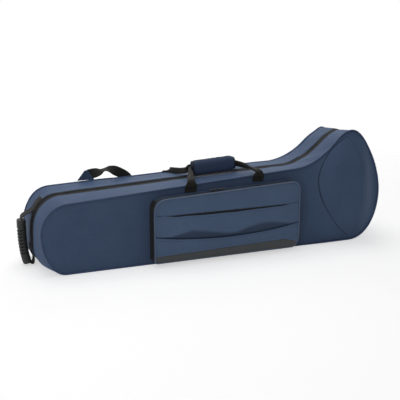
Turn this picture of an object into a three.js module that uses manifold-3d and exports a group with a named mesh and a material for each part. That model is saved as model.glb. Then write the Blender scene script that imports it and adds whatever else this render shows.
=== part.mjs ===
// A soft-sided trombone case standing on its long lower side.
// X runs along the case from the slide end to the bell end, Y from front to back, Z is up.
// The case parts at the zip plane, Y = 0: the front half is the lid and turns on the fabric hinge below.
import * as THREE from 'three';
import { mergeVertices } from 'three/addons/utils/BufferGeometryUtils.js';
import Module from 'manifold-3d';

const wasm = await Module();
wasm.setup();

// Driving dimensions, in millimetres. Places and runs along the case are shares of its length.
// Case body: the outline of the front face.
const caseLength = 900;
const slideEndHeight = 166;
const slideEndNoseHeight = 95;
const slideEndShoulderRun = 62;
const heelRun = 55;
const waistX = 0.2222 * caseLength;
const waistHeight = 204;
const neckX = 0.3389 * caseLength;
const neckHeight = 258;
const crestX = 0.3989 * caseLength;
const crestHeight = 293;
const bellShoulderX = 0.4722 * caseLength;
const bellShoulderHeight = 222;
const bellNoseHeight = 125;
const toeX = 0.4 * caseLength;

// Case body: depth, and how the back outline differs from the front one.
const slideEndDepth = 180;
const bellEndDepth = 146;
const backShift = 10;
const backRise = 8;
const backDrop = 8;
const bellBulge = 40;
const bulgeStartX = 0.2222 * caseLength;
const bulgeFullX = 0.3444 * caseLength;
const bulgeEaseX = 0.4133 * caseLength;
const shellWall = 9;
const rimGap = 5;

// Seams, zips and hinge.
const pipingRadius = 2.2;
const seatGap = 0.3;
const zipRecess = 1.2;
const zipRecessBelow = 5.6;
const tapeThickness = 1.6;
const zipStartX = 0.3333 * caseLength;
const lidTapeStartX = 0.3733 * caseLength;
const hingeEndX = 0.3244 * caseLength;
const hingeThickness = 1.4;

// Lens-shaped crest panel over the bell.
const lensTopX = 0.3822 * caseLength;
const lensTopHeight = 280;
const lensLeftX = 0.2733 * caseLength;
const lensLeftHeight = 165;
const lensRightX = 0.4267 * caseLength;
const lensRightHeight = 128;
const lensBottomX = 0.3967 * caseLength;
const lensBottomHeight = 13;
const lensThickness = 1.6;

// Front pocket.
const pocketHalfLength = 0.2144 * caseLength;
const pocketBottom = 10;
const pocketLeftTop = 164;
const pocketRightTop = 181;
const pocketDepth = 33;
const pocketLeftRadius = 32;
const pocketRightRadius = 26;
const pocketBottomRadius = 6;
const pocketChamferRun = 20;
const pocketChamferRise = 32;
const pocketWall = 3;
const pocketTapeWidth = 5;
const pocketTapeGap = 0.4;
const pocketRimDepth = 7;
const pocketPanelWall = 3;
const slitHeight = 126;
const slotSeamEndHeight = 74;
const slotSeamSag = 15;
const trimHeight = 28;
const trimPeakX = 0.1644 * caseLength;
const trimPeakRise = 9;
const layerThickness = 1.6;
const layerInset = 4;

// Carry handle.
const strapWidth = 30;
const strapThickness = 2.2;
const handleFootLeftX = -0.0989 * caseLength;
const handleFootRightX = 0.1011 * caseLength;
const handleFootLength = 22;
const gripLeftX = -0.0622 * caseLength;
const gripRightX = 0.0644 * caseLength;
const gripClearance = 6.5;
const gripHeight = 32;
const gripThickness = 24;
const gripCornerRadius = 9;
const strapCoreWidth = 14;
const strapCoreThickness = 6;
const strapInShares = [0, 0, 0.02, 0.35, 0.75, 1];
const strapUpShares = [-0.08, 0.3, 0.55, 0.8, 0.97, 1];
const strapRollShares = [0, 0, 0.1, 0.5, 0.9, 1];

// Grip strap on the slide end.
const endGripY = 25;
const endGripWidth = 32;
const endGripThickness = 18;
const endGripTop = 116;
const endGripBottom = 9;
const endGripLean = 12;
const endGripStandOff = 8;
const endGripBlockHeight = 22;
const endGripRibs = 8;
const endGripRibDepth = 3.6;
const endGripPathShares = [[0, 0], [0.35, 0], [0.7, 0.3], [1, 1]];
const endGripRibShares = [[0.12, 0], [0.42, 0], [0.56, 1], [0.94, 1]];
const endStrapThickness = 2;
const endStrapWidth = 24;
const endStrapBowRise = 13;
const endStrapTurnRise = 14.4;

// Shoulder straps on the back.
const tabX = -0.3367 * caseLength;
const tabBaseWidth = 44;
const tabTopWidth = 27;
const tabHeight = 26;
const tabLean = 6;
const tabThickness = 3;
const webWidth = 25;
const webThickness = 1.8;
const padLength = 0.2389 * caseLength;
const padWidth = 58;
const padThickness = 12;
const padEdge = 3;
const padStartX = -0.1333 * caseLength;
const padSpacing = 34;
const padLift = 8;
const anchorPatchSize = 120;
const anchorPatchLength = 0.1022 * caseLength;
const anchorPatchThickness = 2;
const upperWebRunShares = [0.02, 0.16, 0.24, 0.36, 0.5, 0.66, 0.8, 0.93, 1];
const upperWebDropShares = [0.16, 0.065, -0.005, 0.005, 0.15, 0.39, 0.815, 1, 1];
const upperWebTwistShares = [0, 0, 0.9, 0.5, 0, 0, 0, 0, 0];
const lowerWebRunShares = [0.02, 0.18, 0.45, 0.7, 0.9, 1];
const lowerWebRiseShares = [0.26, 0.285, 0.545, 0.855, 1, 1];
const lowerWebTwistShares = [0, 0, 0, 0, 0, 0];
const buckleLength = 26;
const buckleGap = 1;
const buckleThickness = 7;
const buckleBar = 4;

// Sliders and pullers.
const sliderLength = 20;
const sliderThickness = 2.2;
const pullerLength = 34;
const pullerWidth = 8;
const pullerThickness = 2;
const pullerRim = 1.8;
const pocketSliderLength = 13;
const pocketSliderHeight = 4;
const pocketPullerLength = 19;
const pocketPullerWidth = 6;
const pocketSliderLeftX = -0.0389 * caseLength;
const pocketSliderGap = 2;

// Padded inside.
const foamEndX = 0.1978 * caseLength;
const foamFace = 2.4;
const slideChannelBottom = 42;
const slideChannelHeight = 96;
const slideChannelDepth = 40;
const slideChannelEnd = 24;
const tubeChannelHeight = 84;
const tubeChannelAxis = 108;
const tubeChannelStartX = -0.2911 * caseLength;
const accessoryBayLength = 0.1333 * caseLength;
const accessoryBayHeight = 96;
const accessoryBayDepth = 50;
const accessoryBayX = -0.45 * caseLength;
const holderLength = 84;
const holderHeight = 40;
const holderDepth = 30;
const holderBore = 26;
const retainerWidth = 32;
const retainerThickness = 1.4;
const retainerLap = 20;

// Facet counts.
const endSteps = 6;
const topSteps = 8;
const neckSteps = 4;
const faceRows = 10;
const lensSteps = 7;
const tubeSides = 6;
const channelSides = 20;
const boreSides = 16;
const cornerSteps = 5;

// Control points of the outline's curved stretches, as shares of each stretch's run and rise.
const heelShares = [[0, 0.526], [0.455, 1]];
const shoulderShares = [[0, 0.55], [0.45, 0.97]];
const lowerNeckShares = [[0.333, 0.04], [0.705, 0.44]];
const upperNeckShares = [[0.31, 0.49], [0.61, 1]];
const crestShares = [[0.38, 0], [0.68, 0.44]];
const bellNoseShares = [[0.6, 0.33], [1, 0.69]];
const toeShares = [[0.667, 0], [1, 0.48]];
const lensUpperShares = [[0.45, 0.14], [1, 0.62]];
const lensLowerShares = [[0, 0.4], [0.45, 0.78]];
const lensRisingShares = [[0.55, 0.22], [1, 0.6]];
const lensClosingShares = [[0, 0.38], [0.55, 0.86]];

const halfLength = caseLength / 2;
const topCount = endSteps + topSteps + 4 * neckSteps;
const group = new THREE.Group();
export default group;

// Finishes.
function finish(color, roughness, metalness = 0) {
  return new THREE.MeshStandardMaterial({ color, roughness, metalness });
}
const navyNylon = finish('#35476b', 0.75);
const pipingVinyl = finish('#27324c', 0.55);
const blackWebbing = finish('#1c1d20', 0.8);
const charcoalTrim = finish('#303438', 0.7);
const blackRubber = finish('#26292a', 0.6);
const blackPlastic = finish('#17181a', 0.4);
const silverMetal = finish('#b9bcc0', 0.3, 1);
const darkPlush = finish('#23262c', 0.95);

function addMesh(name, geometry, material, parent = group) {
  const mesh = new THREE.Mesh(geometry, material);
  mesh.name = name;
  parent.add(mesh);
  return mesh;
}

const mix = (a, b, share) => a + (b - a) * share;
const clamp01 = (value) => Math.min(1, Math.max(0, value));
const smooth = (value) => clamp01(value) ** 2 * (3 - 2 * clamp01(value));

// A closed skin of points and quads whose winding is turned outwards at the end.
class Skin {
  constructor() {
    this.points = [];
    this.faces = [];
  }

  add([x, y, z]) {
    this.points.push(x, y, z);
    return this.points.length / 3 - 1;
  }

  triangle(a, b, c) {
    if (a !== b && b !== c && c !== a) this.faces.push(a, b, c);
  }

  quad(a, b, c, d) {
    this.triangle(a, b, c);
    this.triangle(a, c, d);
  }

  volume() {
    const corner = (index) => new THREE.Vector3().fromArray(this.points, 3 * index);
    let sum = 0;
    for (let i = 0; i < this.faces.length; i += 3) {
      const [a, b, c] = this.faces.slice(i, i + 3).map(corner);
      sum += a.dot(b.cross(c));
    }
    return sum;
  }

  geometry() {
    if (this.volume() < 0) this.faces.reverse();
    const result = new THREE.BufferGeometry();
    result.setAttribute('position', new THREE.Float32BufferAttribute(this.points, 3));
    result.setIndex(this.faces);
    return result;
  }
}

// Joins stations, each a ring of points, end to end. A closed loft runs back into its first ring.
function loft(stations, closed = false) {
  const skin = new Skin();
  const rings = stations.map((ring) => ring.map((point) => skin.add(point)));
  const sides = rings[0].length;
  const spans = closed ? rings.length : rings.length - 1;
  for (let i = 0; i < spans; i += 1) {
    const here = rings[i];
    const next = rings[(i + 1) % rings.length];
    for (let j = 0; j < sides; j += 1) {
      const k = (j + 1) % sides;
      skin.quad(here[j], here[k], next[k], next[j]);
    }
  }
  if (!closed) {
    const first = rings[0];
    const last = rings[rings.length - 1];
    for (let j = 1; j < sides - 1; j += 1) {
      skin.triangle(first[0], first[j + 1], first[j]);
      skin.triangle(last[0], last[j], last[j + 1]);
    }
  }
  return skin.geometry();
}

// A flat strap along a path. across gives the strap's width direction at each point.
function strapAlong(path, across, widths, thickness) {
  const stations = path.map((point, i) => {
    const before = path[Math.max(0, i - 1)];
    const after = path[Math.min(path.length - 1, i + 1)];
    const tangent = after.clone().sub(before).normalize();
    const side = across[i].clone().addScaledVector(tangent, -across[i].dot(tangent)).normalize();
    const normal = tangent.clone().cross(side);
    const width = Array.isArray(widths) ? widths[i] : widths;
    const depth = Array.isArray(thickness) ? thickness[i] : thickness;
    return [[-1, -1], [1, -1], [1, 1], [-1, 1]].map(([u, v]) => point.clone()
      .addScaledVector(side, (u * width) / 2)
      .addScaledVector(normal, (v * depth) / 2)
      .toArray());
  });
  return loft(stations);
}

// Solids for cutting and joining.
function toManifold(geometry) {
  const bare = geometry.clone();
  bare.deleteAttribute('normal');
  bare.deleteAttribute('uv');
  const merged = mergeVertices(bare);
  return new wasm.Manifold(new wasm.Mesh({
    numProp: 3,
    vertProperties: new Float32Array(merged.attributes.position.array),
    triVerts: new Uint32Array(merged.index.array),
  }));
}

function fromManifold(manifold) {
  const { vertProperties, triVerts } = manifold.getMesh();
  const result = new THREE.BufferGeometry();
  result.setAttribute('position', new THREE.Float32BufferAttribute(vertProperties, 3));
  result.setIndex(Array.from(triVerts));
  return result;
}

function boxBetween([x0, y0, z0], [x1, y1, z1]) {
  const box = new THREE.BoxGeometry(x1 - x0, y1 - y0, z1 - z0);
  return box.translate((x0 + x1) / 2, (y0 + y1) / 2, (z0 + z1) / 2);
}

// One curved stretch between two outline points, with its control points as shares of run and rise.
function stretch(start, end, shares, steps) {
  const control = shares.map(([u, v]) => new THREE.Vector2(
    mix(start[0], end[0], u),
    mix(start[1], end[1], v),
  ));
  const curve = new THREE.CubicBezierCurve(
    new THREE.Vector2(...start),
    ...control,
    new THREE.Vector2(...end),
  );
  return curve.getPoints(steps).map((point) => [point.x, point.y]);
}

// The outline's upper and lower edges, point for point from the slide end to the bell end.
const slideNose = [-halfLength, slideEndNoseHeight];
const shoulder = [-halfLength + slideEndShoulderRun, slideEndHeight];
const heel = [-halfLength + heelRun, 0];
const waist = [waistX, waistHeight];
const neck = [neckX, neckHeight];
const crest = [crestX, crestHeight];
const bellShoulder = [bellShoulderX, bellShoulderHeight];
const bellNose = [halfLength, bellNoseHeight];
const toe = [toeX, 0];
const straight = [[1 / 3, 1 / 3], [2 / 3, 2 / 3]];
const levelNormal = -0.99;

const upperEdge = [
  ...stretch(slideNose, shoulder, shoulderShares, endSteps),
  ...stretch(shoulder, waist, straight, topSteps).slice(1),
  ...stretch(waist, neck, lowerNeckShares, neckSteps).slice(1),
  ...stretch(neck, crest, upperNeckShares, neckSteps).slice(1),
  ...stretch(crest, bellShoulder, crestShares, neckSteps).slice(1),
  ...stretch(bellShoulder, bellNose, bellNoseShares, neckSteps).slice(1),
];
const flatUnder = upperEdge.slice(endSteps + 1, -2 * neckSteps).map(([x]) => [
  mix(heel[0], toe[0], (x - shoulder[0]) / (crest[0] - shoulder[0])),
  0,
]);
const lowerEdge = [
  ...stretch(slideNose, heel, heelShares, endSteps),
  ...flatUnder,
  ...stretch(toe, bellNose, toeShares, 2 * neckSteps).slice(1),
];

const halfDepth = (x) => mix(slideEndDepth, bellEndDepth, (x + halfLength) / caseLength) / 2;
const endRises = [backRise / slideEndHeight, -backDrop / crestHeight];
const heightScale = (x) => mix(...endRises, (x + halfLength) / caseLength);

// The outline at one depth share, 0 at the front face and 1 at the back face, pushed in by an inset.
function outline(depthShare, inset = 0) {
  const base = [...lowerEdge, ...upperEdge.slice(1, -1).reverse()].map(([x, z]) => [
    x - backShift * depthShare,
    z * (1 + heightScale(x) * depthShare),
  ]);
  return base.map(([x, z], i) => {
    const before = base[(i + base.length - 1) % base.length];
    const after = base[(i + 1) % base.length];
    const run = after[0] - before[0];
    const rise = after[1] - before[1];
    const length = Math.hypot(run, rise);
    const [nx, nz] = [rise / length, -run / length];
    return { x: x - nx * inset, z: z - nz * inset, nx, nz };
  });
}

const edgeHeight = (edge, x) => {
  const i = Math.max(1, edge.findIndex((point) => point[0] >= x));
  const [before, after] = [edge[i - 1], edge[i]];
  return mix(before[1], after[1], clamp01((x - before[0]) / (after[0] - before[0])));
};

// How far the face swells over the bell at one place of the front outline.
function bulge(x, z) {
  const top = edgeHeight(upperEdge, Math.min(x, halfLength));
  const bottom = edgeHeight(lowerEdge, Math.min(x, halfLength));
  const level = (2 * z - top - bottom) / Math.max(top - bottom, pipingRadius);
  const rise = smooth((x - bulgeStartX) / (bulgeFullX - bulgeStartX));
  const fall = smooth((x - bulgeEaseX) / (halfLength - bulgeEaseX));
  return bellBulge * rise * (1 - fall) * Math.max(0, 1 - level * level);
}

// Y of the front face (side -1) or the back face (side 1), measured inwards by an offset.
function faceY(side, x, z, inwards = 0) {
  const depthShare = side < 0 ? 0 : 1;
  const frontX = x + backShift * depthShare;
  const frontZ = z / (1 + heightScale(frontX) * depthShare);
  return side * (halfDepth(frontX) + bulge(frontX, frontZ) - inwards);
}

// A body built from outline loops: the first and last loops are closed by faces ruled from the lower
// edge to the upper one, whose Y comes from a function of place.
function outlineBody(loops, firstFace, lastFace) {
  const skin = new Skin();
  const rings = loops.map((loop) => loop.map((point) => skin.add(point)));
  const count = rings[0].length;
  for (let i = 0; i + 1 < rings.length; i += 1) {
    for (let j = 0; j < count; j += 1) {
      const k = (j + 1) % count;
      skin.quad(rings[i][j], rings[i][k], rings[i + 1][k], rings[i + 1][j]);
    }
  }
  const close = (loop, ring, face, flip) => {
    const columns = [];
    for (let k = 0; k <= topCount; k += 1) {
      const low = k;
      const high = (count - k) % count;
      const column = [ring[low]];
      for (let m = 1; m < faceRows; m += 1) {
        const x = mix(loop[low][0], loop[high][0], m / faceRows);
        const z = mix(loop[low][2], loop[high][2], m / faceRows);
        const isEnd = low === high;
        column.push(isEnd ? ring[low] : skin.add([x, face(x, z), z]));
      }
      column.push(ring[high]);
      columns.push(column);
    }
    for (let k = 0; k < topCount; k += 1) {
      for (let m = 0; m < faceRows; m += 1) {
        const [a, b, c, d] = [columns[k][m], columns[k + 1][m], columns[k + 1][m + 1], columns[k][m + 1]];
        if (flip) skin.quad(a, d, c, b);
        else skin.quad(a, b, c, d);
      }
    }
  };
  close(loops[0], rings[0], firstFace, true);
  close(loops[loops.length - 1], rings[rings.length - 1], lastFace, false);
  return skin.geometry();
}

const shareAt = (y, x) => 0.5 + y / (2 * halfDepth(x));
const loopAtY = (y, inset) => outline(shareAt(y, 0), inset).map(({ x, z }) => [x, y, z]);
const loopAtFace = (side, inset, inwards) => outline(side < 0 ? 0 : 1, inset)
  .map(({ x, z }) => [x, side * (halfDepth(x + (side < 0 ? 0 : backShift)) - inwards), z]);

// Half shells: a soft foam wall, open at the zip plane.
function halfShell(side) {
  const loops = [
    loopAtFace(side, 0, 0),
    loopAtY(side * rimGap, 0),
    loopAtY(side * rimGap, shellWall),
    loopAtFace(side, shellWall, shellWall),
  ];
  return outlineBody(
    loops,
    (x, z) => faceY(side, x, z),
    (x, z) => faceY(side, x, z, shellWall),
  );
}
addMesh('back_shell', halfShell(1), navyNylon);
addMesh('front_shell', halfShell(-1), navyNylon);

// Piping round the edge of each face. Along the bottom it lies in front of the edge and not below it.
function edgePiping(side) {
  const reach = pipingRadius + seatGap;
  const stations = outline(side < 0 ? 0 : 1).map(({ x, z, nx, nz }) => {
    const under = clamp01(-nz);
    const out = mix(reach * Math.SQRT1_2, -pipingRadius, under);
    const ahead = out > 0 ? Math.sqrt(reach ** 2 - out ** 2) : reach;
    const inner = out - pipingRadius;
    const depth = Math.abs(faceY(side, x + nx * inner, z + nz * inner)) + ahead;
    return Array.from({ length: tubeSides }, (_, i) => {
      const turn = (2 * Math.PI * (i + 0.5)) / tubeSides;
      const radial = out + pipingRadius * Math.cos(turn);
      return [x + nx * radial, side * (depth + pipingRadius * Math.sin(turn)), z + nz * radial];
    });
  });
  return loft(stations, true);
}
addMesh('back_piping', edgePiping(1), pipingVinyl);
addMesh('front_piping', edgePiping(-1), pipingVinyl);

// Lens-shaped crest panel, a second layer over the swelling, between two curved seams.
const lensTop = [lensTopX, lensTopHeight];
const lensLeft = [lensLeftX, lensLeftHeight];
const lensRight = [lensRightX, lensRightHeight];
const lensBottom = [lensBottomX, lensBottomHeight];
const lensOutline = [
  ...stretch(lensTop, lensLeft, lensUpperShares, lensSteps),
  ...stretch(lensLeft, lensBottom, lensLowerShares, lensSteps).slice(1),
  ...stretch(lensBottom, lensRight, lensRisingShares, lensSteps).slice(1),
  ...stretch(lensRight, lensTop, lensClosingShares, lensSteps).slice(1, -1),
];

// A layer that follows the face between two offsets outwards from it.
function faceLayer(side, from, to) {
  return outlineBody(
    [loopAtFace(side, 0, -to), loopAtFace(side, 0, -from)],
    (x, z) => faceY(side, x, z, -to),
    (x, z) => faceY(side, x, z, -from),
  );
}

function lensPanel(side) {
  const depthShare = side < 0 ? 0 : 1;
  const placed = lensOutline.map(([x, z]) => new THREE.Vector2(
    x - backShift * depthShare,
    z * (1 + heightScale(x) * depthShare),
  ));
  const prism = new THREE.ExtrudeGeometry(new THREE.Shape(placed), { depth: slideEndDepth, bevelEnabled: false });
  prism.rotateX(Math.PI / 2);
  if (side > 0) prism.translate(0, slideEndDepth, 0);
  const sheet = toManifold(faceLayer(side, seatGap, seatGap + lensThickness));
  return fromManifold(sheet.intersect(toManifold(prism)));
}
addMesh('front_bell_panel', lensPanel(-1), navyNylon);
addMesh('back_bell_panel', lensPanel(1), navyNylon);

// Main zip: one tape on the rim of each half, from the bell end's underside round to the heel.
function rimTape(side, startX) {
  const gap = outline(shareAt(0, 0));
  const stations = gap
    .map((point, i) => ({ ...point, i }))
    .filter(({ x, nz, i }) => !(i <= lowerEdge.length && nz < levelNormal && x < startX))
    .map((point) => ({ ...point, order: (point.i + gap.length - endSteps - 1) % gap.length }))
    .sort((a, b) => a.order - b.order)
    .map(({ x, z, nx, nz }) => {
      const sink = mix(zipRecess, zipRecessBelow, clamp01(-nz));
      const corners = [
        [sink, rimGap - seatGap],
        [sink, seatGap],
        [sink + tapeThickness, seatGap],
        [sink + tapeThickness, rimGap - seatGap],
      ];
      return corners.map(([inset, y]) => [x - nx * inset, side * y, z - nz * inset]);
    });
  return loft(stations);
}
addMesh('back_zip_tape', rimTape(1, zipStartX), blackWebbing);
addMesh('front_zip_tape', rimTape(-1, lidTapeStartX), blackWebbing);

// Fabric hinge under the case, along the zip plane.
const hingeStartX = -halfLength + heelRun - backShift / 2;
addMesh('hinge_tape', boxBetween(
  [hingeStartX, -rimGap + seatGap, 0],
  [hingeEndX, rimGap - seatGap, hingeThickness],
), blackWebbing);

// Main slider and its puller, tucked along the recessed zip where the case stands.
const sliderTop = zipRecessBelow - seatGap;
const sliderX = zipStartX;
const mainSlider = toManifold(boxBetween(
  [sliderX, -rimGap + seatGap, sliderTop - sliderThickness],
  [sliderX + sliderLength, rimGap - seatGap, sliderTop],
));
addMesh('main_slider', fromManifold(mainSlider), silverMetal);

// A flat puller: a frame with a round eye at its free end, lying in the XY plane from the origin along +X.
function pullerShape(length, width, rim) {
  const half = width / 2;
  const shape = new THREE.Shape();
  shape.moveTo(0, -half);
  shape.lineTo(length - half, -half);
  shape.absarc(length - half, 0, half, -Math.PI / 2, Math.PI / 2, false);
  shape.lineTo(0, half);
  shape.closePath();
  const eye = new THREE.Path();
  eye.absarc(length - half, 0, half - rim, 0, 2 * Math.PI, true);
  shape.holes.push(eye);
  return shape;
}
const mainPullerGeometry = new THREE.ExtrudeGeometry(
  pullerShape(pullerLength, pullerWidth, pullerRim),
  { depth: pullerThickness, bevelEnabled: false, curveSegments: cornerSteps },
);
const pullerTop = sliderTop - sliderThickness - seatGap;
mainPullerGeometry.translate(sliderX + sliderLength / 2, 0, pullerTop - pullerThickness);
addMesh('main_puller', mainPullerGeometry, silverMetal);

// Padded blocks inside each half, with the channels that hold the instrument.
function paddedCore(side) {
  const inset = shellWall + seatGap;
  const loops = [loopAtFace(side, inset, inset), loopAtY(side * foamFace, inset)];
  const flatFace = (x) => side * (halfDepth(x + (side < 0 ? 0 : backShift)) - inset);
  const core = toManifold(outlineBody(loops, flatFace, () => side * foamFace));
  const reach = slideEndDepth;
  const bellRoom = toManifold(boxBetween([foamEndX, -reach, -reach], [caseLength, reach, caseLength]));
  return core.subtract(bellRoom);
}
const slideChannel = toManifold(boxBetween(
  [-halfLength + slideChannelEnd + shellWall, -slideChannelDepth - foamFace, slideChannelBottom],
  [caseLength, rimGap, slideChannelBottom + slideChannelHeight],
));
addMesh('front_foam', fromManifold(paddedCore(-1).subtract(slideChannel)), darkPlush);

const tubeRadius = tubeChannelHeight / 2;
const tubeChannelGeometry = new THREE.CylinderGeometry(tubeRadius, tubeRadius, caseLength, channelSides);
tubeChannelGeometry.rotateZ(Math.PI / 2);
tubeChannelGeometry.translate(tubeChannelStartX + caseLength / 2, foamFace, tubeChannelAxis);
const accessoryBay = toManifold(boxBetween(
  [accessoryBayX, -rimGap, tubeChannelAxis - accessoryBayHeight / 2],
  [accessoryBayX + accessoryBayLength, foamFace + accessoryBayDepth, tubeChannelAxis + accessoryBayHeight / 2],
));
const backFoam = paddedCore(1).subtract(toManifold(tubeChannelGeometry)).subtract(accessoryBay);
addMesh('back_foam', fromManifold(backFoam), darkPlush);

// Mouthpiece holder standing in the accessory bay.
const holderFloor = foamFace + accessoryBayDepth - seatGap;
const holderBlock = toManifold(boxBetween(
  [accessoryBayX + seatGap, holderFloor - holderDepth, tubeChannelAxis - holderHeight / 2],
  [accessoryBayX + holderLength, holderFloor, tubeChannelAxis + holderHeight / 2],
));
const holderBoreGeometry = new THREE.CylinderGeometry(holderBore / 2, holderBore / 2, holderLength, boreSides);
holderBoreGeometry.rotateZ(Math.PI / 2);
holderBoreGeometry.translate(
  accessoryBayX + holderLength / 2 + shellWall,
  foamFace + accessoryBayDepth - holderDepth / 2,
  tubeChannelAxis,
);
addMesh('mouthpiece_holder', fromManifold(holderBlock.subtract(toManifold(holderBoreGeometry))), darkPlush);

// Retaining straps: two over the slide in the lid, one over the bell's tube in the back half.
function retainer(side, x, bottom, height) {
  const near = side * (foamFace - seatGap);
  const far = side * (foamFace - seatGap - retainerThickness);
  return boxBetween(
    [x - retainerWidth / 2, Math.min(near, far), bottom - retainerLap],
    [x + retainerWidth / 2, Math.max(near, far), bottom + height + retainerLap],
  );
}
const slideStrapShares = [0.24, 0.86];
slideStrapShares.forEach((share, i) => addMesh(
  `slide_strap_${i + 1}`,
  retainer(-1, mix(-halfLength, foamEndX, share), slideChannelBottom, slideChannelHeight),
  blackWebbing,
));
addMesh('bell_strap', retainer(
  1,
  (tubeChannelStartX + foamEndX) / 2,
  tubeChannelAxis - tubeRadius,
  tubeChannelHeight,
), blackWebbing);

// Front pocket, built on the front face: u along the face, v up, w straight out of it.
const taper = Math.atan2(halfDepth(-halfLength) - halfDepth(halfLength), caseLength);
const pocketSeat = new THREE.Group();
pocketSeat.position.set(0, -halfDepth(0), 0);
pocketSeat.rotation.z = taper;
const pocketFrame = new THREE.Group();
pocketFrame.rotation.x = Math.PI / 2;
pocketSeat.add(pocketFrame);
group.add(pocketSeat);

const pocketTop = (u) => mix(pocketLeftTop, pocketRightTop, (u + pocketHalfLength) / (2 * pocketHalfLength));

// The pocket's outline, pushed in by an inset.
function pocketShape(inset, lowest = pocketBottom) {
  const left = -pocketHalfLength + inset;
  const right = pocketHalfLength - inset;
  const bottom = lowest + inset;
  const topLeft = pocketTop(left) - inset;
  const topRight = pocketTop(right) - inset;
  const leftRadius = pocketLeftRadius - inset;
  const rightRadius = pocketRightRadius - inset;
  const slope = (topRight - topLeft) / (right - left);
  const shape = new THREE.Shape();
  shape.moveTo(left + pocketBottomRadius, bottom);
  shape.lineTo(right - pocketChamferRun, bottom);
  shape.quadraticCurveTo(right - pocketBottomRadius / 2, bottom, right, bottom + pocketChamferRise);
  shape.lineTo(right, topRight - rightRadius);
  shape.quadraticCurveTo(right, topRight, right - rightRadius, topRight - slope * rightRadius);
  shape.lineTo(left + leftRadius, topLeft + slope * leftRadius);
  shape.quadraticCurveTo(left, topLeft, left, topLeft - leftRadius);
  shape.lineTo(left, bottom + pocketBottomRadius);
  shape.quadraticCurveTo(left, bottom, left + pocketBottomRadius, bottom);
  return shape;
}

function pocketRing(outerInset, wall, from, to) {
  const shape = pocketShape(outerInset);
  shape.holes.push(new THREE.Path(pocketShape(outerInset + wall).getPoints(cornerSteps).reverse()));
  const ring = new THREE.ExtrudeGeometry(shape, { depth: to - from, bevelEnabled: false, curveSegments: cornerSteps });
  return ring.translate(0, 0, from);
}

const pocketPanelBack = pocketDepth - pocketRimDepth;
const tapeFront = pocketPanelBack - seatGap;
const tapeMiddle = tapeFront - pocketTapeWidth;
const tapeBack = tapeMiddle - pocketTapeGap - pocketTapeWidth;
addMesh('pocket_gusset', pocketRing(0, pocketWall, seatGap, tapeBack - seatGap), navyNylon, pocketFrame);
const tapeInset = pocketWall - tapeThickness;
const pocketTape = (from, to) => pocketRing(tapeInset, tapeThickness, from, to);
addMesh('pocket_zip_tape', pocketTape(tapeBack, tapeMiddle - pocketTapeGap), blackWebbing, pocketFrame);
addMesh('pocket_panel_tape', pocketTape(tapeMiddle, tapeFront), blackWebbing, pocketFrame);

// The pocket's opening front: a shallow tray with its hollow towards the case.
const panelOuter = toManifold(new THREE.ExtrudeGeometry(
  pocketShape(0),
  { depth: pocketRimDepth, bevelEnabled: false, curveSegments: cornerSteps },
).translate(0, 0, pocketPanelBack));
const panelHollow = toManifold(new THREE.ExtrudeGeometry(
  pocketShape(pocketPanelWall),
  { depth: pocketRimDepth, bevelEnabled: false, curveSegments: cornerSteps },
).translate(0, 0, pocketPanelBack - pocketPanelWall));
addMesh('pocket_panel', fromManifold(panelOuter.subtract(panelHollow)), navyNylon, pocketFrame);

// Piping round the pocket's front edge.
function pocketPiping() {
  const points = pocketShape(pipingRadius / 2).getPoints(cornerSteps);
  const loop = points.slice(0, -1);
  const stations = loop.map((point, i) => {
    const before = loop[(i + loop.length - 1) % loop.length];
    const after = loop[(i + 1) % loop.length];
    const normal = new THREE.Vector2(after.y - before.y, before.x - after.x).normalize();
    return Array.from({ length: tubeSides }, (_, k) => {
      const turn = (2 * Math.PI * k) / tubeSides;
      const radial = (pipingRadius / 2) * Math.cos(turn);
      const ahead = pocketDepth + seatGap + pipingRadius / 2 + (pipingRadius / 2) * Math.sin(turn);
      return [point.x + normal.x * radial, point.y + normal.y * radial, ahead];
    });
  });
  return loft(stations, true);
}
addMesh('pocket_piping', pocketPiping(), pipingVinyl, pocketFrame);

// Layers sewn on the pocket's front: two open-topped slot pockets and the dark trim along the bottom.
const layerHalf = pocketHalfLength - layerInset;
const slotSeam = (u) => slotSeamEndHeight - slotSeamSag * (1 - (u / layerHalf) ** 2);
function layer(topPoints, bottomPoints, from) {
  const shape = new THREE.Shape([...bottomPoints, ...topPoints.reverse()].map(([u, v]) => new THREE.Vector2(u, v)));
  const sheet = new THREE.ExtrudeGeometry(shape, { depth: layerThickness, bevelEnabled: false });
  return sheet.translate(0, 0, from);
}
const acrossShares = [-1, -0.75, -0.5, -0.25, 0, 0.25, 0.5, 0.75, 1];
const seamPoints = (lift) => acrossShares.map((share) => [share * layerHalf, slotSeam(share * layerHalf) + lift]);
const layerFront = pocketDepth + seatGap;
addMesh('upper_slot_panel', layer(
  [[-layerHalf, slitHeight], [layerHalf, slitHeight]],
  seamPoints(seatGap),
  layerFront,
), navyNylon, pocketFrame);
const chamferTop = pocketBottom + pocketChamferRise;
const chamferCornerX = layerHalf - pocketChamferRun / 2;
addMesh('lower_slot_panel', layer(
  seamPoints(0),
  [
    [-layerHalf, trimHeight + seatGap],
    [layerHalf - pocketChamferRun - (pocketHalfLength - trimPeakX), trimHeight + seatGap],
    [trimPeakX, trimHeight + trimPeakRise + seatGap],
    [chamferCornerX, trimHeight + trimPeakRise + seatGap],
    [layerHalf, chamferTop],
  ],
  layerFront,
), navyNylon, pocketFrame);
addMesh('bottom_trim', layer(
  [
    [-layerHalf, trimHeight],
    [layerHalf - pocketChamferRun - (pocketHalfLength - trimPeakX), trimHeight],
    [trimPeakX, trimHeight + trimPeakRise],
    [chamferCornerX - layerInset, trimHeight],
  ],
  [
    [-layerHalf, pocketBottom + layerInset],
    [pocketHalfLength - pocketChamferRun - layerInset, pocketBottom + layerInset],
  ],
  layerFront,
), charcoalTrim, pocketFrame);

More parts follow.
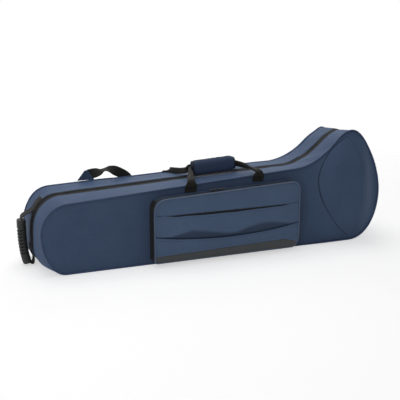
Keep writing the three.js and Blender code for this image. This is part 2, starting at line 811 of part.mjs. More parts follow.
// Pocket sliders on top of the zip, each with a puller lying along the tape.
const pullerGeometry = new THREE.ExtrudeGeometry(
  pullerShape(pocketPullerLength, pocketPullerWidth, pullerRim),
  { depth: pullerThickness, bevelEnabled: false, curveSegments: cornerSteps },
);
const topSlope = Math.atan2(pocketRightTop - pocketLeftTop, 2 * pocketHalfLength);
const sliderStep = pocketSliderLength + pocketSliderGap;
[['left', 0, -1], ['right', sliderStep, 1]].forEach(([name, step, facing]) => {
  const u = pocketSliderLeftX + step;
  const stand = new THREE.Group();
  stand.position.set(u, pocketTop(u) - tapeInset + seatGap, tapeMiddle - pocketTapeGap / 2);
  stand.rotation.z = topSlope;
  pocketFrame.add(stand);
  const half = pocketTapeWidth - seatGap;
  addMesh(`pocket_slider_${name}`, boxBetween(
    [-pocketSliderLength / 2, 0, -half],
    [pocketSliderLength / 2, pocketSliderHeight, half],
  ), blackPlastic, stand);
  const puller = pullerGeometry.clone();
  puller.rotateX(-Math.PI / 2);
  if (facing < 0) puller.rotateY(Math.PI);
  puller.translate(facing * (seatGap - pocketSliderLength / 2), pocketSliderHeight + seatGap, 0);
  addMesh(`pocket_puller_${name}`, puller, blackPlastic, stand);
});

// Carry handle: a sewn foot on each face under each end of the loop, and the loop's free part above.
const vector = (x, y, z) => new THREE.Vector3(x, y, z);
const alongX = vector(1, 0, 0);
const alongZ = vector(0, 0, 1);
const strapLift = strapThickness / 2 + seatGap + 2 * pipingRadius;

function topAt(side, x) {
  const depthShare = side < 0 ? 0 : 1;
  const frontX = x + backShift * depthShare;
  return edgeHeight(upperEdge, frontX) * (1 + heightScale(frontX) * depthShare);
}

function handleFoot(side, x) {
  const top = topAt(side, x) - 2 * pipingRadius;
  const clear = side < 0 ? top - pocketTop(x) - pipingRadius : handleFootLength;
  const bottom = top - Math.min(handleFootLength, clear);
  const y = (z) => faceY(side, x, z) + side * (seatGap + strapThickness / 2);
  const path = [bottom, top].map((z) => vector(x, y(z), z));
  return strapAlong(path, path.map(() => alongX), strapWidth, strapThickness);
}

// The grip hangs just clear of the case and follows the slope of its top.
const topGradient = (waistHeight - slideEndHeight) / (waistX - shoulder[0]);
const gripMiddleX = (gripLeftX + gripRightX) / 2;
const gripMiddleZ = topAt(1, gripMiddleX) + gripClearance + gripHeight / 2;
const gripZ = (x) => gripMiddleZ + (x - gripMiddleX) * topGradient;
const frontCoreY = -gripThickness / 2;
const rearCoreY = strapCoreThickness / 2 + 2 * seatGap;

// The free loop of one strap: up from the foot, over the piping and in along the grip.
function handleLoop(side, coreY) {
  const steps = strapInShares.length;
  const half = (footX, gripX, out) => strapInShares.map((share, i) => {
    const coreX = gripX + out * strapCoreThickness;
    return vector(
      mix(footX, coreX, share),
      mix(faceY(side, footX, topAt(side, footX)) + side * strapLift, coreY, share),
      mix(topAt(side, footX), gripZ(coreX), strapUpShares[i]),
    );
  });
  const core = [gripLeftX, gripMiddleX, gripRightX].map((x) => vector(x, coreY, gripZ(x)));
  const path = [
    ...half(handleFootLeftX, gripLeftX, -1),
    ...core,
    ...half(handleFootRightX, gripRightX, 1).reverse(),
  ];
  const rollAt = (i) => strapRollShares[Math.min(i, path.length - 1 - i, steps - 1)];
  const across = path.map((_, i) => {
    const flat = i < steps ? alongX : alongX.clone().negate();
    return flat.clone().lerp(alongZ, rollAt(i)).normalize();
  });
  const widths = path.map((_, i) => mix(strapWidth, strapCoreWidth, rollAt(i)));
  const depths = path.map((_, i) => mix(strapThickness, strapCoreThickness, rollAt(i)));
  return strapAlong(path, across, widths, depths);
}

[['left', handleFootLeftX], ['right', handleFootRightX]].forEach(([name, x]) => {
  addMesh(`front_handle_foot_${name}`, handleFoot(-1, x), blackWebbing);
  addMesh(`rear_handle_foot_${name}`, handleFoot(1, x), blackWebbing);
});
addMesh('front_handle_strap', handleLoop(-1, frontCoreY), blackWebbing);
addMesh('rear_handle_strap', handleLoop(1, rearCoreY), blackWebbing);

// Padded wrap round the front strap, the rear strap lying against its back.
function roundedRect(width, height, radius) {
  const shape = new THREE.Shape();
  const [w, h] = [width / 2, height / 2];
  shape.moveTo(-w + radius, -h);
  shape.lineTo(w - radius, -h);
  shape.quadraticCurveTo(w, -h, w, -h + radius);
  shape.lineTo(w, h - radius);
  shape.quadraticCurveTo(w, h, w - radius, h);
  shape.lineTo(-w + radius, h);
  shape.quadraticCurveTo(-w, h, -w, h - radius);
  shape.lineTo(-w, -h + radius);
  shape.quadraticCurveTo(-w, -h, -w + radius, -h);
  return shape;
}
const wrapShape = roundedRect(gripThickness, gripHeight, gripCornerRadius);
const [boreW, boreH] = [strapCoreThickness / 2 + seatGap, strapCoreWidth / 2 + seatGap];
wrapShape.holes.push(new THREE.Path([
  new THREE.Vector2(-boreW, -boreH),
  new THREE.Vector2(-boreW, boreH),
  new THREE.Vector2(boreW, boreH),
  new THREE.Vector2(boreW, -boreH),
]));
const wrapGeometry = new THREE.ExtrudeGeometry(
  wrapShape,
  { depth: gripRightX - gripLeftX, bevelEnabled: false, curveSegments: cornerSteps },
);
wrapGeometry.translate(0, 0, (gripLeftX - gripRightX) / 2);
wrapGeometry.rotateX(Math.PI / 2);
wrapGeometry.rotateZ(Math.PI / 2);
const handleWrap = addMesh('handle_wrap', wrapGeometry, navyNylon);
handleWrap.position.set(gripMiddleX, frontCoreY, gripMiddleZ);
handleWrap.rotation.y = -Math.atan(topGradient);

// Grip strap on the slide end: webbing sewn on above and below, with a ribbed rubber grip between.
const endShare = shareAt(endGripY, -halfLength);
const endOutline = outline(endShare);
const flareRise = (backShift / slideEndDepth) * (endStrapWidth / 2);
const patchRise = endStrapThickness / 2 + 2 * seatGap + flareRise;
const onEnd = (index, out) => {
  const point = endOutline[(index + endOutline.length) % endOutline.length];
  return vector(point.x + point.nx * out, endGripY, point.z + point.nz * out);
};
const gripOuterX = -halfLength - backShift * endShare - endGripStandOff - endGripThickness / 2;
const gripCurve = new THREE.CatmullRomCurve3(endGripPathShares.map(([down, lean]) => vector(
  gripOuterX + endGripLean * lean,
  endGripY,
  mix(endGripTop, endGripBottom, down),
)));

function endGrip() {
  const blockShare = endGripBlockHeight / (endGripTop - endGripBottom);
  const ribShare = (1 - 2 * blockShare) / endGripRibs;
  const places = [[0, 1], [blockShare, 1]];
  for (let rib = 0; rib < endGripRibs; rib += 1) {
    endGripRibShares.forEach(([share, proud]) => places.push([blockShare + (rib + share) * ribShare, proud]));
  }
  places.push([1, 1]);
  const corner = endGripThickness / 4;
  const stations = places.map(([share, proud]) => {
    const point = gripCurve.getPointAt(Math.min(share, 1));
    const down = gripCurve.getTangentAt(Math.min(share, 1));
    const out = vector(down.z, 0, -down.x);
    const outer = endGripThickness / 2 - (1 - proud) * endGripRibDepth;
    const half = endGripWidth / 2;
    const inner = -endGripThickness / 2;
    return [
      [inner, -half + corner], [inner, half - corner], [inner + corner, half], [outer - corner, half],
      [outer, half - corner], [outer, -half + corner], [outer - corner, -half], [inner + corner, -half],
    ].map(([u, v]) => point.clone().addScaledVector(out, u).add(vector(0, v, 0)).toArray());
  });
  return loft(stations);
}
addMesh('end_grip', endGrip(), blackRubber);

const acrossY = vector(0, 1, 0);
const gripTopPoint = gripCurve.getPointAt(0);
const gripBottomPoint = gripCurve.getPointAt(1);
const upperEndPath = [
  onEnd(-endSteps + 1, patchRise),
  onEnd(-endSteps + 2, patchRise),
  onEnd(-endSteps + 3, patchRise),
  gripTopPoint.clone().add(vector(endGripStandOff, 0, endStrapBowRise)),
  gripTopPoint.clone().add(vector(0, 0, endGripStandOff / 2)),
  gripTopPoint.clone().add(vector(0, 0, 2 * seatGap)),
];
addMesh('end_strap_upper', strapAlong(
  upperEndPath,
  upperEndPath.map(() => acrossY),
  endStrapWidth,
  endStrapThickness,
), blackWebbing);
const lowerEndPath = [
  gripBottomPoint.clone().add(vector(endGripThickness / 2 + seatGap, 0, endGripThickness / 2)),
  gripBottomPoint.clone().add(vector(endGripThickness, 0, endStrapTurnRise)),
  onEnd(3, patchRise).add(vector(-patchRise, 0, 0)),
  onEnd(2, patchRise),
];
addMesh('end_strap_lower', strapAlong(
  lowerEndPath,
  lowerEndPath.map(() => acrossY),
  endStrapWidth,
  endStrapThickness,
), blackWebbing);

// Shoulder straps on the back: a tab on the upper and the lower edge, webbing, buckle and pad for each.
// Their frame lies on the back face: x along it, y straight out of it, z up.
const backFrame = new THREE.Group();
backFrame.position.set(0, halfDepth(backShift), 0);
backFrame.rotation.z = -taper;
group.add(backFrame);

function strapTab(name, base) {
  const [foot, head] = [tabBaseWidth / 2, tabTopWidth / 2];
  const shape = new THREE.Shape();
  shape.moveTo(-foot, 0);
  shape.lineTo(foot, 0);
  shape.lineTo(tabLean + head, tabHeight);
  shape.lineTo(tabLean - head, tabHeight);
  shape.closePath();
  const plate = new THREE.ExtrudeGeometry(shape, { depth: tabThickness, bevelEnabled: false });
  plate.rotateX(Math.PI / 2);
  plate.translate(tabX, seatGap + tabThickness, base);
  addMesh(name, plate, navyNylon, backFrame);
}
const upperTabBase = topAt(1, tabX + tabBaseWidth / 2) + 2 * pipingRadius;
const lowerTabBase = 2 * pipingRadius + seatGap;
strapTab('strap_tab_upper', upperTabBase);
strapTab('strap_tab_lower', lowerTabBase);

const padMiddleZ = topAt(1, tabX) / 2 + padLift;
const upperPadZ = padMiddleZ + padSpacing;
const lowerPadZ = padMiddleZ - padSpacing;
const webEndX = padStartX - buckleLength - buckleGap;
const webOnTab = tabThickness + 3 * seatGap + webThickness / 2;
const webOverPiping = 2 * pipingRadius + 2 * seatGap + webThickness / 2;
const webAtBuckle = seatGap + buckleThickness / 2;
const webHeights = [webOnTab, webOnTab, webOverPiping, webAtBuckle, webAtBuckle];

// Webbing from a tab to a buckle: flat on the tab, over the piping, and flat again at the buckle.
function webbing(name, tabZ, padZ, runShares, riseShares, twistShares) {
  const lastStretch = runShares.length - webHeights.length;
  const path = runShares.map((share, i) => vector(
    mix(tabX, webEndX, share),
    webHeights[i < 2 ? i : Math.max(2, i - lastStretch)],
    mix(tabZ, padZ, riseShares[i]),
  ));
  const across = twistShares.map((share) => alongZ.clone().lerp(acrossY, share).normalize());
  addMesh(name, strapAlong(path, across, webWidth, webThickness), blackWebbing, backFrame);
}
webbing(
  'shoulder_web_upper',
  upperTabBase + tabHeight,
  upperPadZ,
  upperWebRunShares,
  upperWebDropShares,
  upperWebTwistShares,
);
webbing(
  'shoulder_web_lower',
  lowerTabBase,
  lowerPadZ,
  lowerWebRunShares,
  lowerWebRiseShares,
  lowerWebTwistShares,
);

// A ladder buckle: a frame with a bar across its middle.
function buckle(name, z) {
  const height = webWidth + 2 * buckleBar;
  const start = webEndX + seatGap;
  const frame = toManifold(boxBetween(
    [start, seatGap, z - height / 2],
    [start + buckleLength, seatGap + buckleThickness, z + height / 2],
  ));
  const slotLength = (buckleLength - 3 * buckleBar) / 2;
  const slots = [0, 1].map((i) => {
    const slotStart = start + buckleBar + i * (slotLength + buckleBar);
    return toManifold(boxBetween(
      [slotStart, -buckleThickness, z - webWidth / 2],
      [slotStart + slotLength, 2 * buckleThickness, z + webWidth / 2],
    ));
  });
  addMesh(name, fromManifold(frame.subtract(slots[0]).subtract(slots[1])), blackPlastic, backFrame);
}
buckle('strap_buckle_upper', upperPadZ);
buckle('strap_buckle_lower', lowerPadZ);

function shoulderPad(name, z) {
  const pad = new THREE.ExtrudeGeometry(roundedRect(padLength, padWidth, padWidth / 3), {
    depth: padThickness - 2 * padEdge,
    bevelEnabled: true,
    bevelThickness: padEdge,
    bevelSize: padEdge,
    bevelOffset: -padEdge,
    bevelSegments: 2,
    curveSegments: cornerSteps,
  });
  pad.rotateX(Math.PI / 2);
  pad.translate(padStartX + padLength / 2, seatGap + padThickness - padEdge, z);
  addMesh(name, pad, blackWebbing, backFrame);
}
shoulderPad('shoulder_pad_upper', upperPadZ);
shoulderPad('shoulder_pad_lower', lowerPadZ);

const patchX = padStartX + padLength + seatGap;
addMesh('anchor_patch', boxBetween(
  [patchX, seatGap, padMiddleZ - anchorPatchSize / 2],
  [patchX + anchorPatchLength, seatGap + anchorPatchThickness, padMiddleZ + anchorPatchSize / 2],
), blackWebbing, backFrame);
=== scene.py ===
"""A soft-sided trombone case on a pale floor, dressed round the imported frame."""
import math

import bmesh
import bpy
import numpy as np
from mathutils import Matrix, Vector, noise


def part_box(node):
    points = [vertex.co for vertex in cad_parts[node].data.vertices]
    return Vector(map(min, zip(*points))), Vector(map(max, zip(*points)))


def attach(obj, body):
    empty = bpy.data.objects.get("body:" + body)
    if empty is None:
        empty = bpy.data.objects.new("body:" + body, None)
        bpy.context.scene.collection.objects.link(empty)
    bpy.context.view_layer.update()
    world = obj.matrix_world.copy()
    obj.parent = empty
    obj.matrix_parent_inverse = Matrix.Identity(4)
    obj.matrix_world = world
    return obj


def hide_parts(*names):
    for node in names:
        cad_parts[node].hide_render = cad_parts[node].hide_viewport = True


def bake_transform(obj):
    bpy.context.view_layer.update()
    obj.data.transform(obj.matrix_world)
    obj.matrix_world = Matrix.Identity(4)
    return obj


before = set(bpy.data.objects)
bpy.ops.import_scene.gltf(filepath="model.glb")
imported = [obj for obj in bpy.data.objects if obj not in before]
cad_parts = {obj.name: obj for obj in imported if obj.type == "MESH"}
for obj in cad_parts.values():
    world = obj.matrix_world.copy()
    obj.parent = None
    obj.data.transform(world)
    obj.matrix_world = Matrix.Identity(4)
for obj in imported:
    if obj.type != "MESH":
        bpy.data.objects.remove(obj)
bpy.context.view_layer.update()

MM = 0.001
TURN = 2 * math.pi

# The case's outline in millimetres, as the part's source states it.
LENGTH = 900
HALF = LENGTH / 2
SLIDE_NOSE = (-HALF, 95)
SHOULDER = (-HALF + 62, 166)
HEEL = (-HALF + 55, 0)
WAIST = (0.2222 * LENGTH, 204)
NECK = (0.3389 * LENGTH, 258)
CREST = (0.3989 * LENGTH, 293)
BELL_SHOULDER = (0.4722 * LENGTH, 222)
BELL_NOSE = (HALF, 125)
TOE = (0.4 * LENGTH, 0)
LENS_TOP = (0.3822 * LENGTH, 280)
LENS_LEFT = (0.2733 * LENGTH, 165)
LENS_RIGHT = (0.4267 * LENGTH, 128)
LENS_BOTTOM = (0.3967 * LENGTH, 13)
END_DEPTHS = (180, 146)
BELL_SWELL = 40
BACK_SHIFT = 10
RIM_GAP = 5
WALL = 9
PIPING = 2.2
SEAT = 0.3
TAPER = math.atan2(17, LENGTH)
END_STEPS = 12
TOP_STEPS = 46
NECK_STEPS = 12
FACE_ROWS = 22
SIDE_ROWS = 9


# Numbers and curves. A side is -1 for the front half and 1 for the back half.
def depth_share(side):
    """A face's place in the case's depth, 0 in front and 1 behind."""
    return (side + 1) // 2


def half_of(side):
    """A half's body, and the word for it in names."""
    return ("lid", "front") if side < 0 else ("back_half", "back")


def mix(a, b, share):
    return a + (b - a) * share


def smooth(value):
    value = np.clip(value, 0, 1)
    return value * value * (3 - 2 * value)


def bump_at(value, middle, width):
    """A bell-shaped bump, 1 at the middle."""
    return np.exp(-(((value - middle) / width) ** 2))


def stretch(start, end, shares, steps):
    """A curved stretch of outline, with its control points as shares of its run and rise."""
    start, end = np.array(start, float), np.array(end, float)
    knots = [start] + [start + (end - start) * np.array(share) for share in shares] + [end]
    t = np.linspace(0, 1, steps + 1)[:, None]
    return ((1 - t) ** 3 * knots[0] + 3 * t * (1 - t) ** 2 * knots[1]
            + 3 * t * t * (1 - t) * knots[2] + t ** 3 * knots[3])


def through(points, steps):
    """A smooth path through points, with steps in each span."""
    points = np.array(points, float)
    padded = np.vstack([2 * points[0] - points[1], points, 2 * points[-1] - points[-2]])
    path = []
    for i in range(len(points) - 1):
        a, b, c, d = padded[i:i + 4]
        for t in np.linspace(0, 1, steps, endpoint=False):
            path.append(0.5 * (2 * b + (c - a) * t + (2 * a - 5 * b + 4 * c - d) * t ** 2
                               + (3 * b - a - 3 * c + d) * t ** 3))
    path.append(points[-1])
    return np.array(path)


def lengths_along(points):
    """Distance along a path to each of its points."""
    steps = np.linalg.norm(np.diff(points, axis=0), axis=1)
    return np.concatenate([[0], np.cumsum(steps)])


def at_lengths(path, total, at):
    """The path's place at one length along it, or at several."""
    return np.stack([np.interp(at, total, path[:, i]) for i in range(path.shape[1])], axis=-1)


def closed_up(loop):
    """A loop with its first point again at its end."""
    return np.vstack([loop, loop[:1]])


def roughness_at(x, y, z, scale):
    """Smooth noise from -1 to 1 at a place in millimetres."""
    return noise.noise(Vector((x, y, z)) / scale)


def rough_grid(x, z, layer, scale):
    """Smooth noise over a grid of places, on one of its layers."""
    return np.array([[roughness_at(a, layer, b, scale) for a, b in zip(row_x, row_z)]
                     for row_x, row_z in zip(x, z)])


def box_of(node):
    """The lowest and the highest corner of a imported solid."""
    return [np.array(corner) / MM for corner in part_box(node)]


UPPER = np.vstack([
    stretch(SLIDE_NOSE, SHOULDER, [[0, 0.55], [0.45, 0.97]], END_STEPS),
    stretch(SHOULDER, WAIST, [[1 / 3, 1 / 3], [2 / 3, 2 / 3]], TOP_STEPS)[1:],
    stretch(WAIST, NECK, [[0.333, 0.04], [0.705, 0.44]], NECK_STEPS)[1:],
    stretch(NECK, CREST, [[0.31, 0.49], [0.61, 1]], NECK_STEPS)[1:],
    stretch(CREST, BELL_SHOULDER, [[0.38, 0], [0.68, 0.44]], NECK_STEPS)[1:],
    stretch(BELL_SHOULDER, BELL_NOSE, [[0.6, 0.33], [1, 0.69]], NECK_STEPS)[1:],
])
UNDER = UPPER[END_STEPS + 1:-2 * NECK_STEPS].copy()
UNDER[:, 0] = mix(HEEL[0], TOE[0], (UNDER[:, 0] - SHOULDER[0]) / (CREST[0] - SHOULDER[0]))
UNDER[:, 1] = 0
LOWER = np.vstack([
    stretch(SLIDE_NOSE, HEEL, [[0, 0.526], [0.455, 1]], END_STEPS),
    UNDER,
    stretch(TOE, BELL_NOSE, [[0.667, 0], [1, 0.48]], 2 * NECK_STEPS)[1:],
])
COLUMNS = len(UPPER) - 1


def half_depth(x):
    """Half of the case's depth at a place along it."""
    return mix(*END_DEPTHS, (x + HALF) / LENGTH) / 2


def height_scale(x):
    """How much taller the back face is than the front one, as a share."""
    return mix(8 / SHOULDER[1], -8 / CREST[1], (x + HALF) / LENGTH)


def shifted(points, share):
    """Outline points at one depth share, 0 on the front face and 1 on the back face.

    Towards the back the padding sags over the neck, fills out at the heel and is tucked in above it.
    """
    x, z = points[:, 0], points[:, 1]
    neck_x = 335
    sag = 11 * share ** 0.65 * bump_at(x, neck_x, np.where(x < neck_x, 88, 30))
    sag += share * (1.8 * smooth((x + 260) / 60) + 3.2 * smooth((x - 20) / 70)) * (1 - smooth((x - 345) / 25))
    down = np.clip((SLIDE_NOSE[1] - z) / SLIDE_NOSE[1], 0, 1)
    fuller = (13 * min(share / 0.3, 1) ** 0.7 * np.sin(math.pi * down ** 2.2) ** 0.8
              * smooth((HEEL[0] + 6 - x) / 30))
    tucked = 4 * share * bump_at(z, 130, 32) * smooth((SHOULDER[0] + 10 - x) / 25)
    level = z * (1 + height_scale(x) * share) - sag * smooth((z - 120) / 60)
    return np.column_stack([x - BACK_SHIFT * share - 0.85 * fuller + tucked,
                            np.maximum(level - 0.55 * fuller, np.minimum(level, 0.4))])


def outline(share, inset=0):
    """The closed outline at a depth share, pushed in, with its outward normals."""
    base = shifted(np.vstack([LOWER, UPPER[-2:0:-1]]), share)
    along = np.roll(base, -1, axis=0) - np.roll(base, 1, axis=0)
    along /= np.linalg.norm(along, axis=1)[:, None]
    normal = np.column_stack([along[:, 1], -along[:, 0]])
    return base - normal * inset, normal


def bulge(x, z):
    """How far a face swells over the bell."""
    held = np.minimum(x, HALF)
    top = np.interp(held, UPPER[:, 0], UPPER[:, 1])
    bottom = np.interp(held, LOWER[:, 0], LOWER[:, 1])
    level = (2 * z - top - bottom) / np.maximum(top - bottom, PIPING)
    full_from, full_to = 0.3444 * LENGTH, 0.4133 * LENGTH
    rise = smooth((x - WAIST[0]) / (full_from - WAIST[0]))
    fall = smooth((x - full_to) / (HALF - full_to))
    return BELL_SWELL * rise * (1 - fall) * np.maximum(0, 1 - level * level)


def face_y(side, x, z, inwards=0.0):
    """Y of a face at a place in millimetres."""
    share = depth_share(side)
    front_x = x + BACK_SHIFT * share
    front_z = z / (1 + height_scale(front_x) * share)
    return side * (half_depth(front_x) + bulge(front_x, front_z) - inwards)


def face_wave(side, x, z):
    """Slight hollows and swellings of the padded face."""
    wide = roughness_at(x, 40 * side, z, 95)
    near = roughness_at(x, 90 * side, z, 34)
    folds = 0
    if side < 0:
        beside_pocket = bump_at(x, 222, 16) * smooth(z / 40) * smooth((200 - z) / 70)
        folds = beside_pocket * math.sin((x + 0.12 * z) / 5.5)
    return 0.9 * wide + 0.35 * near + 0.55 * folds


POCKET_PLANE = -81.5
BACK_PLANE = half_depth(BACK_SHIFT)
POCKET_OUT = (math.sin(TAPER), -math.cos(TAPER), 0)
BACK_OUT = (math.sin(TAPER), math.cos(TAPER), 0)


def in_panel(along, out, up, origin_y, facing):
    """Places on an upright plane that turns with the case's taper and faces front (-1) or back (1)."""
    along, out, up = np.broadcast_arrays(*(np.asarray(values, float) for values in (along, out, up)))
    x = along * math.cos(TAPER) + out * math.sin(TAPER)
    y = origin_y - facing * along * math.sin(TAPER) + facing * out * math.cos(TAPER)
    return np.stack([x, y, up], axis=-1)


def on_pocket(u, v, w):
    """A place on the front pocket: u along the face, v up, w straight out of it."""
    return in_panel(u, w, v, POCKET_PLANE, -1)


def on_back(x, out, z):
    """A place on the back face: x along it, out straight out of it, z up."""
    return in_panel(x, out, z, BACK_PLANE, 1)


# Making pieces. Shapes are worked out in millimetres and stored in metres.
def deselect():
    bpy.ops.object.select_all(action="DESELECT")


def make_active(piece):
    deselect()
    piece.select_set(True)
    bpy.context.view_layer.objects.active = piece


def new_piece(name, points, faces, face_uvs=None, tint=None, linings=None):
    """A mesh object at the origin from points in millimetres.

    face_uvs are in millimetres of cloth, tint darkens points with painted shade, and linings number each
    face's finish.
    """
    mesh = bpy.data.meshes.new(name)
    mesh.from_pydata((np.asarray(points) * MM).tolist(), [], faces)
    if face_uvs is not None:
        layer = mesh.uv_layers.new(name="cloth")
        layer.data.foreach_set("uv", (np.asarray(face_uvs, float).reshape(-1) * MM))
    if tint is not None:
        # The painted shade is kept under the attribute name seam.
        mark = mesh.attributes.new("seam", "FLOAT", "POINT")
        mark.data.foreach_set("value", np.asarray(tint, float))
    if linings is not None:
        mesh.polygons.foreach_set("material_index", linings)
    piece = bpy.data.objects.new(name, mesh)
    bpy.context.scene.collection.objects.link(piece)
    tidy_mesh(piece)
    shade(piece, True)
    return piece


def bare_piece(name, points, faces):
    """A mesh whose cloth lies at one point of its UV."""
    return new_piece(name, points, faces, [(0, 0)] * sum(len(face) for face in faces))


def shade(piece, rounded):
    for polygon in piece.data.polygons:
        polygon.use_smooth = rounded


def tidy_mesh(piece):
    """Merges doubled points and turns the faces outwards."""
    work = bmesh.new()
    work.from_mesh(piece.data)
    bmesh.ops.remove_doubles(work, verts=work.verts, dist=2e-6)
    bmesh.ops.dissolve_degenerate(work, dist=1e-7, edges=work.edges)
    bmesh.ops.recalc_face_normals(work, faces=work.faces)
    work.to_mesh(piece.data)
    work.free()
    piece.data.update()


def finish_with(piece, *modifiers):
    """Adds modifiers with their settings and applies them."""
    make_active(piece)
    for kind, settings in modifiers:
        modifier = piece.modifiers.new(kind.title(), kind)
        for key, value in settings.items():
            setattr(modifier, key, value)
        bpy.ops.object.modifier_apply(modifier=modifier.name)
    shade(piece, True)
    return piece


def subdivided(piece):
    """The piece after one round of subdivision."""
    return finish_with(piece, ("SUBSURF", {"levels": 1, "render_levels": 1}))


def edge_of(grid):
    """The border of a grid of points, once round."""
    return np.vstack([grid[:, 0], grid[-1, 1:], grid[-2::-1, -1], grid[0, -2:0:-1]])


def slab(name, front, rings, back, tints=None, lined_from=None):
    """A closed body: a front grid, rings of points round its border, and a back grid.

    Every ring has as many points as the grid's border. The UV runs along both grids and down the rings.
    Rings from lined_from on, and the back, take the piece's second finish.
    """
    columns, rows = front.shape[:2]
    inside = (columns - 2) * (rows - 2)
    border = edge_of(front)
    loops = [border] + [np.asarray(ring, float) for ring in rings] + [edge_of(back)]
    count = len(border)
    points = np.vstack([*loops, front[1:-1, 1:-1].reshape(-1, 3), back[1:-1, 1:-1].reshape(-1, 3)])
    places = edge_of(np.arange(columns * rows).reshape(columns, rows, 1)).ravel()
    faces, uvs, linings = [], [], []

    def add_grid(grid, border_start, inner_start, flip, lining):
        index = np.zeros(columns * rows, int)
        index[places] = border_start + np.arange(count)
        index = index.reshape(columns, rows)
        index[1:-1, 1:-1] = inner_start + np.arange(inside).reshape(columns - 2, rows - 2)
        u = lengths_along(grid[:, rows // 2])
        v = lengths_along(grid[columns // 2])
        for k in range(columns - 1):
            for m in range(rows - 1):
                quad = [(k, m), (k + 1, m), (k + 1, m + 1), (k, m + 1)]
                if flip:
                    quad.reverse()
                faces.append([int(index[a, b]) for a, b in quad])
                uvs.extend((u[a], v[b]) for a, b in quad)
                linings.append(lining)

    last = len(loops) - 1
    add_grid(front, 0, len(loops) * count, False, 0)
    add_grid(back, last * count, len(loops) * count + inside, True, int(lined_from is not None))
    around = lengths_along(closed_up(border))
    down = 0.0
    for i in range(last):
        step = float(np.median(np.linalg.norm(loops[i + 1] - loops[i], axis=1)))
        for j in range(count):
            k = (j + 1) % count
            faces.append([i * count + j, (i + 1) * count + j, (i + 1) * count + k, i * count + k])
            uvs.extend([(around[j], down), (around[j], down + step),
                        (around[j + 1], down + step), (around[j + 1], down)])
            linings.append(int(lined_from is not None and i >= lined_from))
        down += step
    tint = None
    if tints is not None:
        front_tint, ring_tints = tints
        ringed = [np.full(count, value) for value in ring_tints]
        tint = np.concatenate([edge_of(front_tint[..., None]).ravel(), *ringed,
                               front_tint[1:-1, 1:-1].ravel(), np.full(inside, ring_tints[-1])])
    return new_piece(name, points, faces, uvs, tint, linings)


def swept(name, stations, closed=False, tints=None):
    """A tube of cross-sections end to end, with closed ends unless it runs back into itself."""
    stations = np.asarray(stations, float)
    count, sides = stations.shape[:2]
    points = stations.reshape(-1, 3)
    middles = stations.mean(axis=1)
    along = lengths_along(closed_up(middles) if closed else middles)
    around = lengths_along(closed_up(stations[count // 2]))
    faces, uvs = [], []
    for i in range(count if closed else count - 1):
        following = (i + 1) % count
        for j in range(sides):
            k = (j + 1) % sides
            faces.append([i * sides + j, i * sides + k, following * sides + k, following * sides + j])
            uvs.extend([(along[i], around[j]), (along[i], around[j + 1]),
                        (along[i + 1], around[j + 1]), (along[i + 1], around[j])])
    if not closed:
        ends = [(0, range(sides - 1, -1, -1)), (count - 1, range(sides))]
        for station, order in ends:
            faces.append([station * sides + j for j in order])
            uvs.extend([(along[station], around[j]) for j in order])
    tint = None if tints is None else np.repeat(np.asarray(tints, float), sides)
    return new_piece(name, points, faces, uvs, tint)


def directions(path, closed=False):
    """Unit directions along a path."""
    if closed:
        along = np.roll(path, -1, axis=0) - np.roll(path, 1, axis=0)
    else:
        along = np.gradient(path, axis=0)
    return along / np.linalg.norm(along, axis=1)[:, None]


def square_to(vectors, along):
    """Vectors with their part along a direction taken out, at unit length."""
    flat = vectors - (vectors * along).sum(axis=1)[:, None] * along
    return flat / np.linalg.norm(flat, axis=1)[:, None]


def rounded_section(width, thickness, corner_steps=3, flat_steps=2):
    """Points round a flat strap's cross-section, with rounded edges."""
    radius = min(thickness, width) / 2 * 0.96
    reach, rise = width / 2 - radius, thickness / 2 - radius
    corners = [(reach, rise), (-reach, rise), (-reach, -rise), (reach, -rise)]
    points = []
    for i, (x, y) in enumerate(corners):
        for step in range(corner_steps + 1):
            angle = (i + step / corner_steps) * math.pi / 2
            points.append((x + radius * math.cos(angle), y + radius * math.sin(angle)))
        following = corners[(i + 1) % 4]
        if i % 2 == 0:
            start_x, level = points[-1]
            shares = [step / (flat_steps + 1) for step in range(1, flat_steps + 1)]
            points.extend((mix(start_x, following[0], share), level) for share in shares)
    return np.array(points)


def strap(name, path, across, widths, thicknesses, ripple=0.0):
    """A strap along a path in millimetres; across gives its width direction at each point."""
    path = np.asarray(path, float)
    along = directions(path)
    side = square_to(np.asarray(across, float), along)
    normal = np.cross(along, side)
    widths = np.broadcast_to(widths, len(path))
    thicknesses = np.broadcast_to(thicknesses, len(path))
    stations = []
    for i, point in enumerate(path):
        section = rounded_section(widths[i], thicknesses[i])
        lift = ripple * roughness_at(*point, 23)
        stations.append(point + section[:, :1] * side[i] + (section[:, 1:] + lift) * normal[i])
    return swept(name, stations)


def round_cord(name, path, radius, sides=10, closed=False, wobble=0.0):
    """A round cord along a path."""
    path = np.asarray(path, float)
    along = directions(path, closed)
    helper = np.where(np.abs(along[:, 1:2]) < 0.9, [[0.0, 1.0, 0.0]], [[1.0, 0.0, 0.0]])
    side = square_to(helper, along)
    normal = np.cross(along, side)
    turns = np.linspace(0, TURN, sides, endpoint=False)
    stations = []
    for i, point in enumerate(path):
        size = radius * (1 + wobble * roughness_at(*point, 11))
        round_it = np.cos(turns)[:, None] * side[i] + np.sin(turns)[:, None] * normal[i]
        stations.append(point + size * round_it)
    return swept(name, stations, closed)


def joined(name, pieces):
    """Several pieces made one."""
    deselect()
    for piece in pieces:
        piece.select_set(True)
    bpy.context.view_layer.objects.active = pieces[0]
    bpy.ops.object.join()
    whole = bpy.context.view_layer.objects.active
    whole.name = name
    whole.data.name = name
    return whole


